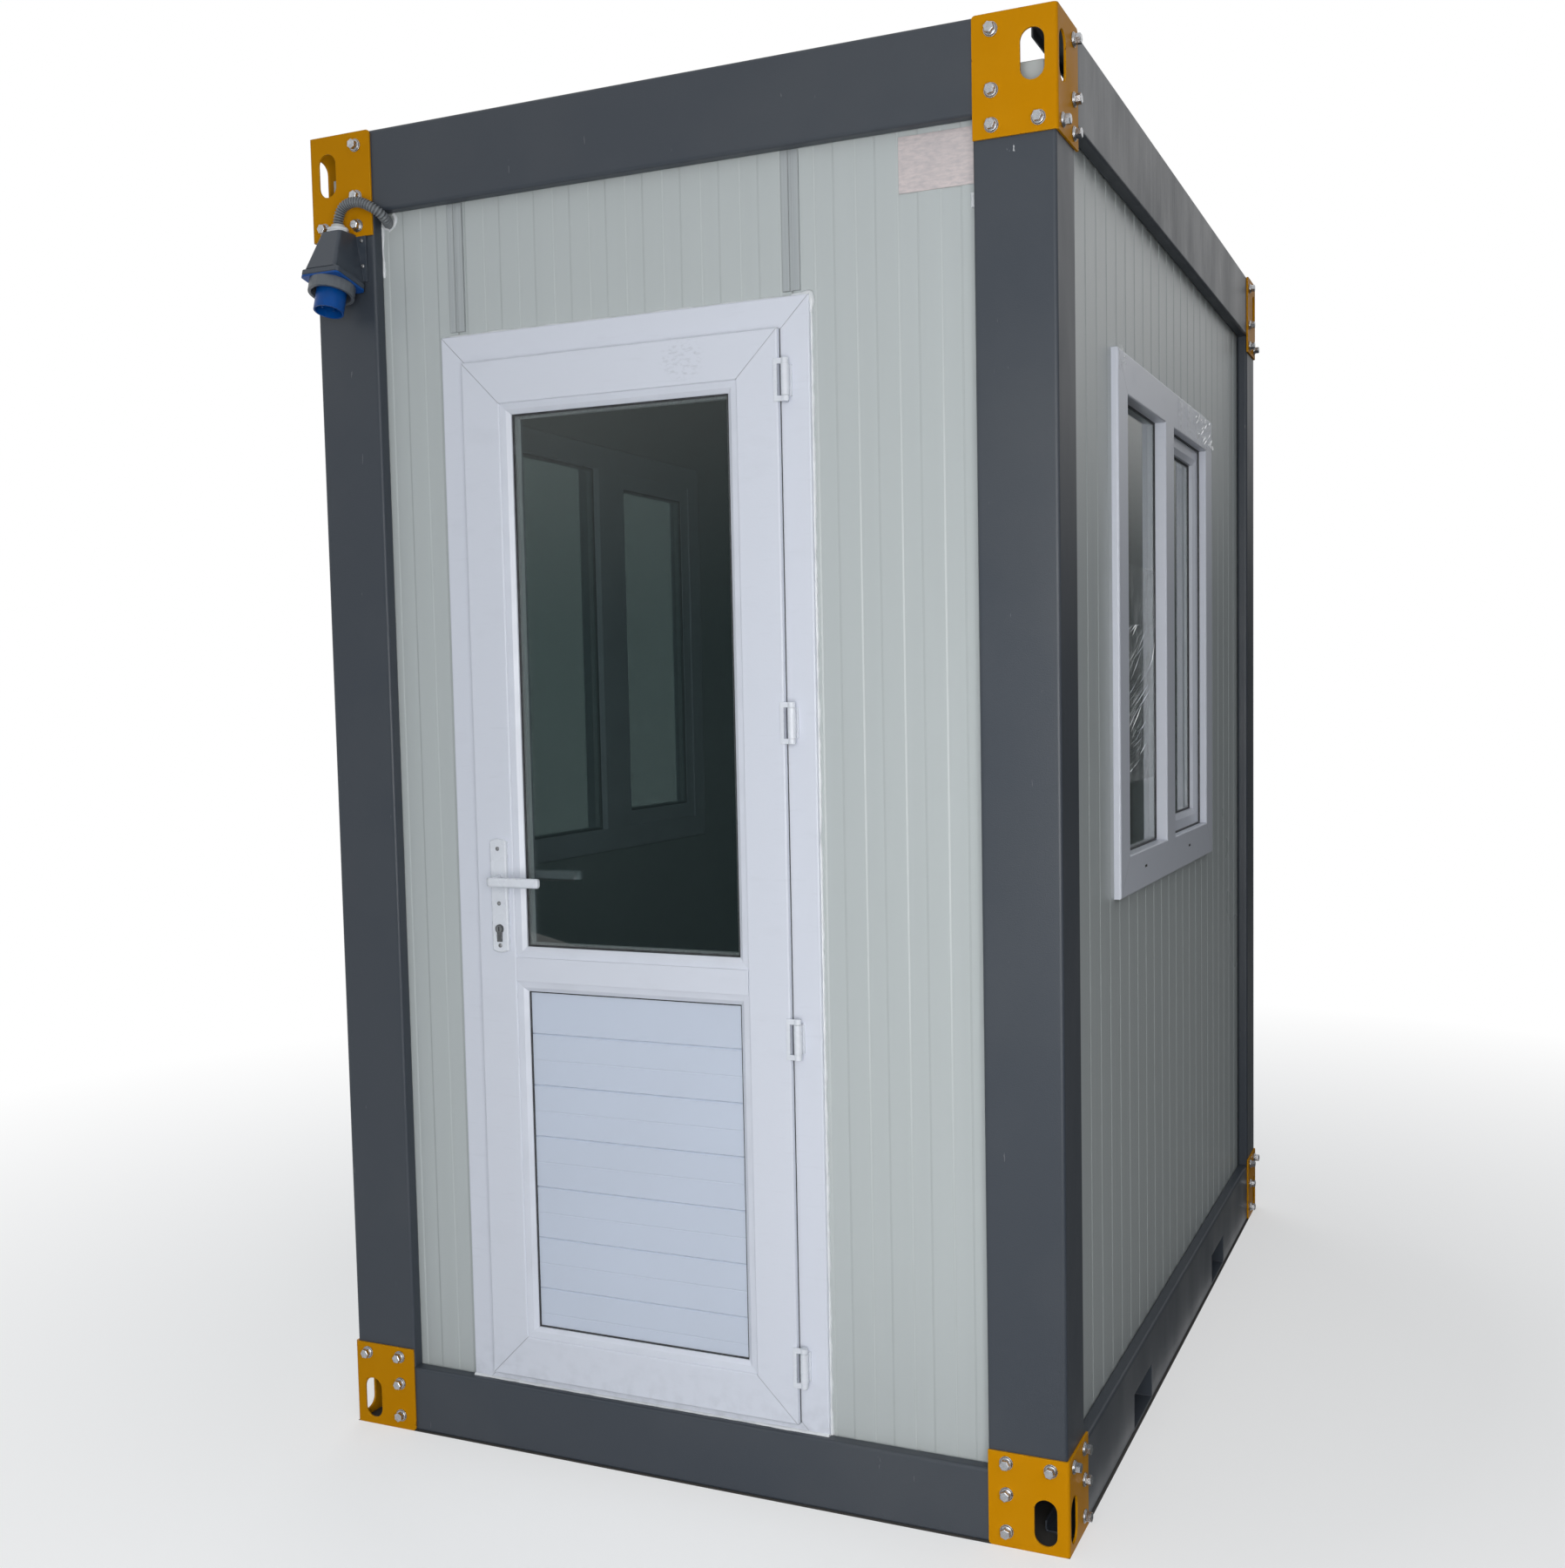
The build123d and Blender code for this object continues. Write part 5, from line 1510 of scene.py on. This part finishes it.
def add_sheet(shape, place, rect, steps, height):
    """Thin wavy sheet over a rectangle; height gives its stand-off at a share of each side."""
    u0, u1, v0, v1 = rect
    across, up = steps
    rows = []
    for thickness in (0.0, FILM_THICKNESS):
        for row in range(up + 1):
            line = []
            for column in range(across + 1):
                a, b = column / across, row / up
                point = place(u0 + (u1 - u0) * a, v0 + (v1 - v0) * b, -height(a, b) - thickness)
                line.append(shape.verts.new(point))
            rows.append(line)
    back, front = rows[: up + 1], rows[up + 1 :]
    for layer in (back, front):
        for row in range(up):
            for column in range(across):
                lower, upper = layer[row], layer[row + 1]
                after = column + 1
                shape.faces.new((lower[column], lower[after], upper[after], upper[column]))
    rim = [(0, c) for c in range(across)] + [(r, across) for r in range(up)]
    rim += [(up, c) for c in range(across, 0, -1)] + [(r, 0) for r in range(up, 0, -1)]
    for (r0, c0), (r1, c1) in zip(rim, rim[1:] + rim[:1]):
        shape.faces.new((back[r0][c0], back[r1][c1], front[r1][c1], front[r0][c0]))


class BOOTH_OT_film(bpy.types.Operator):
    """Leaves crumpled protective film on the right window, with painted glints on its folds"""

    bl_idname = "booth.film"
    bl_label = "Leave Film"

    # Each sheet's rectangle, its steps across and up, and the depth, number and seed of its folds
    head_sheet = ((0.02, 0.4345, 2.036, 2.111), (44, 10), (0.0045, 9.0, 1.0))
    tag_sheet = ((-0.5285, -0.480, 2.070, 2.118), (10, 10), (0.004, 5.0, 4.0))
    pane_sheet = ((-0.448, -0.105, 1.28, 1.72), (40, 48), (0.003, 14.0, 7.0))
    # Shares of the folds: number along the diagonal, least stand-off, height of the fine ones
    along_share = 0.3
    least_share = 0.15
    fine_share = 0.35
    # Bright folds: stand-off of foot and ridge, sway in degrees, shares of the length, widths
    glint_foot = 0.0045
    glint_ridge = 0.0060
    glint_sway = 9.0
    glint_reach = (0.25, 0.5)
    glint_width = (0.0002, 0.0008)

    def execute(self, context):
        look = context.scene.booth_door
        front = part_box("window_frame_right")[1].x

        def on(face):
            return lambda u, v, d: (face - d, u, v)

        shape = bmesh.new()
        pane = front - PANE_RECESS
        sheets = ((front, self.head_sheet), (front, self.tag_sheet), (pane, self.pane_sheet))
        for face, (rect, steps, folds) in sheets:
            add_sheet(shape, on(face), rect, steps, self.crumple(*folds))
        new_piece("window_film", shape_mesh("window_film", shape, clear_film(look)), "cabin")
        shape = bmesh.new()
        for rect, face, count, reach, lean in self.glint_groups(front, pane):
            self.glints(shape, on(face), rect, count, reach, lean)
        new_piece("film_fold_glints", shape_mesh("film_fold_glints", shape, film_glint(look)), "cabin")
        return {"FINISHED"}

    def glint_groups(self, face, pane):
        """Where the painted glints of the film's folds sit: rectangle, face, number, length and lean in
        degrees.
        """
        return (
            ((0.20, 0.425, 2.040, 2.105), face, 48, 0.050, 24.0),
            ((-0.525, -0.485, 2.075, 2.110), face, 10, 0.014, 24.0),
            ((-0.43, -0.12, 1.38, 1.60), pane, 20, 0.17, 26.0),
            ((-0.43, -0.12, 1.30, 1.42), pane, 8, 0.10, 18.0),
        )

    def glints(self, shape, place, rect, count, reach, lean):
        """Slender bright slivers, painted glints of the folds, that stand a little off the sheet."""
        chance = random.Random(count)
        u0, u1, v0, v1 = rect
        for _ in range(count):
            middle = Vector((chance.uniform(u0, u1), chance.uniform(v0, v1)))
            angle = math.radians(lean + chance.uniform(-self.glint_sway, self.glint_sway))
            along = Vector((math.cos(angle), math.sin(angle))) * reach * chance.uniform(*self.glint_reach)
            across = Vector((-math.sin(angle), math.cos(angle))) * chance.uniform(*self.glint_width)
            ends = (middle - along, middle + across, middle + along, middle - across)
            inside = [Vector((min(max(p.x, u0), u1), min(max(p.y, v0), v1))) for p in ends]
            foot = [shape.verts.new(place(p.x, p.y, -self.glint_foot)) for p in inside]
            ridge = shape.verts.new(place(middle.x, middle.y, -self.glint_ridge))
            for first, second in zip(foot, foot[1:] + foot[:1]):
                shape.faces.new((first, second, ridge))
            shape.faces.new(foot[::-1])

    def crumple(self, depth, folds, seed):
        """Stand-off of a crumpled sheet, with folds across its diagonal."""

        def height(a, b):
            ridge = noise.noise(Vector(((a - b) * folds, (a + b) * folds * self.along_share, seed)))
            fine = noise.noise(Vector((a * folds * 2, b * folds * 2, seed + 3.0)))
            return depth * (self.least_share + abs(ridge) + self.fine_share * abs(fine))

        return height


class BOOTH_OT_stage(bpy.types.Operator):
    """Sets the floor, the light and the camera"""

    bl_idname = "booth.stage"
    bl_label = "Set Stage"

    # Floor: half its side, distances where it turns white and how white it is near, edge of the lane
    floor_half = 40.0
    floor_fade = (1.4, 4.0)
    floor_near = 0.5
    lane = (0.6, 1.1)
    # Each light's place, what it is aimed at, and its size
    key = ((1.5, -4.0, 1.3), (0.15, -0.8, 1.1), (2.6, 2.2))
    fill = ((-3.2, 4.2, 2.4), (-0.2, 0.4, 1.1), (3.2, 2.6))
    # Each card's place, width and height, turn in degrees and colour
    cards = (
        ((-3.9, -6.6, 2.0), (10.5, 4.0), 36.0, (0.18, 0.25, 0.265)),
        ((3.9, 7.5, 2.3), (9.0, 4.6), 180.0, (0.055, 0.06, 0.06)),
        ((4.6, 2.5, 2.3), (10.0, 4.6), 90.0, (0.055, 0.06, 0.06)),
    )
    # Cards: shares of the height where they turn white, share of their glow that lights the booth
    card_fade = (-0.1, 0.5)
    card_share = 0.42
    # Corners of the dark mat beside the booth, seen only in reflections
    mat_low = (0.768, -2.6, 0.002)
    mat_high = (4.7, 7.6, 0.004)

    def execute(self, context):
        look = context.scene.booth_stage
        scene = context.scene
        scene.view_settings.view_transform = "Standard"
        self.floor(look)
        self.world(look, scene)
        self.lamp(scene, "Key Light", self.key, look.key_power)
        self.lamp(scene, "Fill Light", self.fill, look.fill_power)
        self.dark_cards(scene)
        self.camera(look, scene)
        return {"FINISHED"}

    def dark_cards(self, scene):
        """Dark cards out of view, which glass and shiny coats mirror."""
        for number, (place, (width, height), turn, level) in enumerate(self.cards):
            shape = bmesh.new()
            add_box(shape, (-width / 2, -CARD, -height / 2), (width / 2, 0.0, height / 2))
            card = self.hidden(f"stage_card_{number + 1}", shape, self.card_finish(level, height), scene)
            card.location = place
            card.rotation_euler = (0.0, 0.0, math.radians(turn))
        shape = bmesh.new()
        add_box(shape, self.mat_low, self.mat_high)
        finish = self.card_finish(self.cards[-1][-1], self.floor_half)
        mat = self.hidden("stage_mat", shape, finish, scene)
        mat.visible_diffuse = False

    def hidden(self, name, shape, material, scene):
        """Stage piece that the camera doesn't see and that throws no shadow."""
        card = bpy.data.objects.new(name, shape_mesh(name, shape, material))
        card.visible_camera = False
        card.visible_shadow = False
        scene.collection.objects.link(card)
        return card

    def card_finish(self, level, height):
        """Dark colour that fades to white towards the top of a card."""
        material, tree = blank_material("Stage Card")
        place = node(tree, "ShaderNodeTexCoord").outputs["Object"]
        up = node(tree, "ShaderNodeSeparateXYZ", {0: place}).outputs["Z"]
        start, end = (height * share_up for share_up in self.card_fade)
        fade = node(
            tree,
            "ShaderNodeMapRange",
            {"Value": up, "From Min": start, "From Max": end},
            interpolation_type="SMOOTHSTEP",
        )
        shade = mixed(tree, fade.outputs[0], level, (1.0, 1.0, 1.0))
        scattered = node(tree, "ShaderNodeLightPath").outputs["Is Diffuse Ray"]
        strength = spread(tree, scattered, 1.0, self.card_share)
        glow = node(tree, "ShaderNodeEmission", {"Color": shade, "Strength": strength})
        node(tree, "ShaderNodeOutputMaterial", {"Surface": glow.outputs[0]})
        return material

    def floor(self, look):
        """Pale floor that keeps the booth's shadow and meets the white background."""
        material, tree = blank_material("Stage Floor")
        rays = self.seen_rays(tree)
        place = node(tree, "ShaderNodeTexCoord").outputs["Object"]
        spot = node(tree, "ShaderNodeSeparateXYZ", {0: place}).outputs
        lane = ramp(tree, spot["X"], *self.lane)
        thrown = mixed(tree, lane, look.floor_bounce, look.lane_bounce)
        bounce = node(tree, "ShaderNodeLightPath").outputs["Is Diffuse Ray"]
        white = node(tree, "ShaderNodeEmission", {"Strength": rays})
        away = vector_size(tree, "LENGTH", place)
        fade = ramp(tree, away, *self.floor_fade, To_Min=self.floor_near)
        past_side = math_node(tree, "SUBTRACT", math_node(tree, "ABSOLUTE", spot["X"]), CAD_BOX[1][0])
        past_end = math_node(tree, "SUBTRACT", math_node(tree, "ABSOLUTE", spot["Y"]), CAD_BOX[1][1])
        outside = math_node(tree, "GREATER_THAN", math_node(tree, "MAXIMUM", past_side, past_end), 0.0)
        # Under the booth the floor takes the dark colour: painted shade
        ground = mixed(tree, outside, look.floor_under_shade, mixed(tree, bounce, look.floor, thrown))
        diffuse = node(tree, "ShaderNodeBsdfDiffuse", {"Color": ground})
        faded = math_node(tree, "MULTIPLY", math_node(tree, "MULTIPLY", fade, outside), rays)
        shown = node(tree, "ShaderNodeMixShader", {0: faded, 1: diffuse.outputs[0], 2: white.outputs[0]})
        node(tree, "ShaderNodeOutputMaterial", {"Surface": shown.outputs[0]})
        shape = bmesh.new()
        bmesh.ops.create_grid(shape, x_segments=1, y_segments=1, size=self.floor_half)
        mesh = shape_mesh("stage_floor", shape, material)
        floor = bpy.data.objects.new("stage_floor", mesh)
        bpy.context.scene.collection.objects.link(floor)

    def seen_rays(self, tree):
        """One for rays that show the background: seen directly, mirrored or through glass."""
        path = node(tree, "ShaderNodeLightPath").outputs
        mirrored = math_node(tree, "MAXIMUM", path["Is Glossy Ray"], path["Is Transmission Ray"])
        return math_node(tree, "MAXIMUM", path["Is Camera Ray"], mirrored)

    def world(self, look, scene):
        """White background with a soft, slightly cool light."""
        world = bpy.data.worlds.new("Stage World")
        world.use_nodes = True
        tree = world.node_tree
        tree.nodes.clear()
        soft = node(tree, "ShaderNodeBackground", {"Color": rgba(look.sky), "Strength": look.sky_strength})
        white = node(tree, "ShaderNodeBackground", {"Strength": 1.0, "Color": (1.0, 1.0, 1.0, 1.0)})
        rays = self.seen_rays(tree)
        shown = node(tree, "ShaderNodeMixShader", {0: rays, 1: soft.outputs[0], 2: white.outputs[0]})
        node(tree, "ShaderNodeOutputWorld", {"Surface": shown.outputs[0]})
        scene.world = world

    def lamp(self, scene, name, setting, power):
        """Large soft light that glass doesn't show."""
        place, aim, size = setting
        lamp = bpy.data.lights.new(name, "AREA")
        lamp.shape = "RECTANGLE"
        lamp.size, lamp.size_y = size
        lamp.energy = power
        light = bpy.data.objects.new(name, lamp)
        light.visible_transmission = False
        light.location = place
        light.rotation_euler = (Vector(aim) - light.location).to_track_quat("-Z", "Y").to_euler()
        scene.collection.objects.link(light)

    def camera(self, look, scene):
        """Camera at the viewing angle."""
        data = bpy.data.cameras.new("Camera")
        data.lens = look.lens
        data.shift_x, data.shift_y = CAMERA_SHIFT
        camera = bpy.data.objects.new("Camera", data)
        camera.location = CAMERA_PLACE
        camera.rotation_euler = [math.radians(turn) for turn in CAMERA_TURN]
        scene.collection.objects.link(camera)
        scene.camera = camera


class BOOTH_PT_panel(bpy.types.Panel):
    """Steps that finish the booth"""

    bl_label = "Guard Booth"
    bl_idname = "BOOTH_PT_panel"
    bl_space_type = "VIEW_3D"
    bl_region_type = "UI"
    bl_category = "Booth"

    def draw(self, context):
        for step in STEPS:
            self.layout.operator(step.bl_idname)


LOOKS = {
    "booth_steel": SteelLook,
    "booth_bolts": BoltSizes,
    "booth_panels": PanelLook,
    "booth_door": DoorLook,
    "booth_inlet": InletLook,
    "booth_stage": StageLook,
}
STEPS = (
    BOOTH_OT_steel,
    BOOTH_OT_bolts,
    BOOTH_OT_panels,
    BOOTH_OT_glazing,
    BOOTH_OT_door,
    BOOTH_OT_inlet,
    BOOTH_OT_hardware,
    BOOTH_OT_sealant,
    BOOTH_OT_film,
    BOOTH_OT_stage,
)


def register():
    """Registers the looks, the steps and the panel."""
    for name, look in LOOKS.items():
        bpy.utils.register_class(look)
        setattr(bpy.types.Scene, name, PointerProperty(type=look))
    for step in STEPS:
        bpy.utils.register_class(step)
    bpy.utils.register_class(BOOTH_PT_panel)


def unregister():
    """Takes everything out again."""
    bpy.utils.unregister_class(BOOTH_PT_panel)
    for step in reversed(STEPS):
        bpy.utils.unregister_class(step)
    for name, look in LOOKS.items():
        delattr(bpy.types.Scene, name)
        bpy.utils.unregister_class(look)


def main():
    """Finishes the booth step by step."""
    register()
    make_effects()
    for step in STEPS:
        group, name = step.bl_idname.split(".")
        getattr(getattr(bpy.ops, group), name)()


if __name__ == "__main__":
    main()
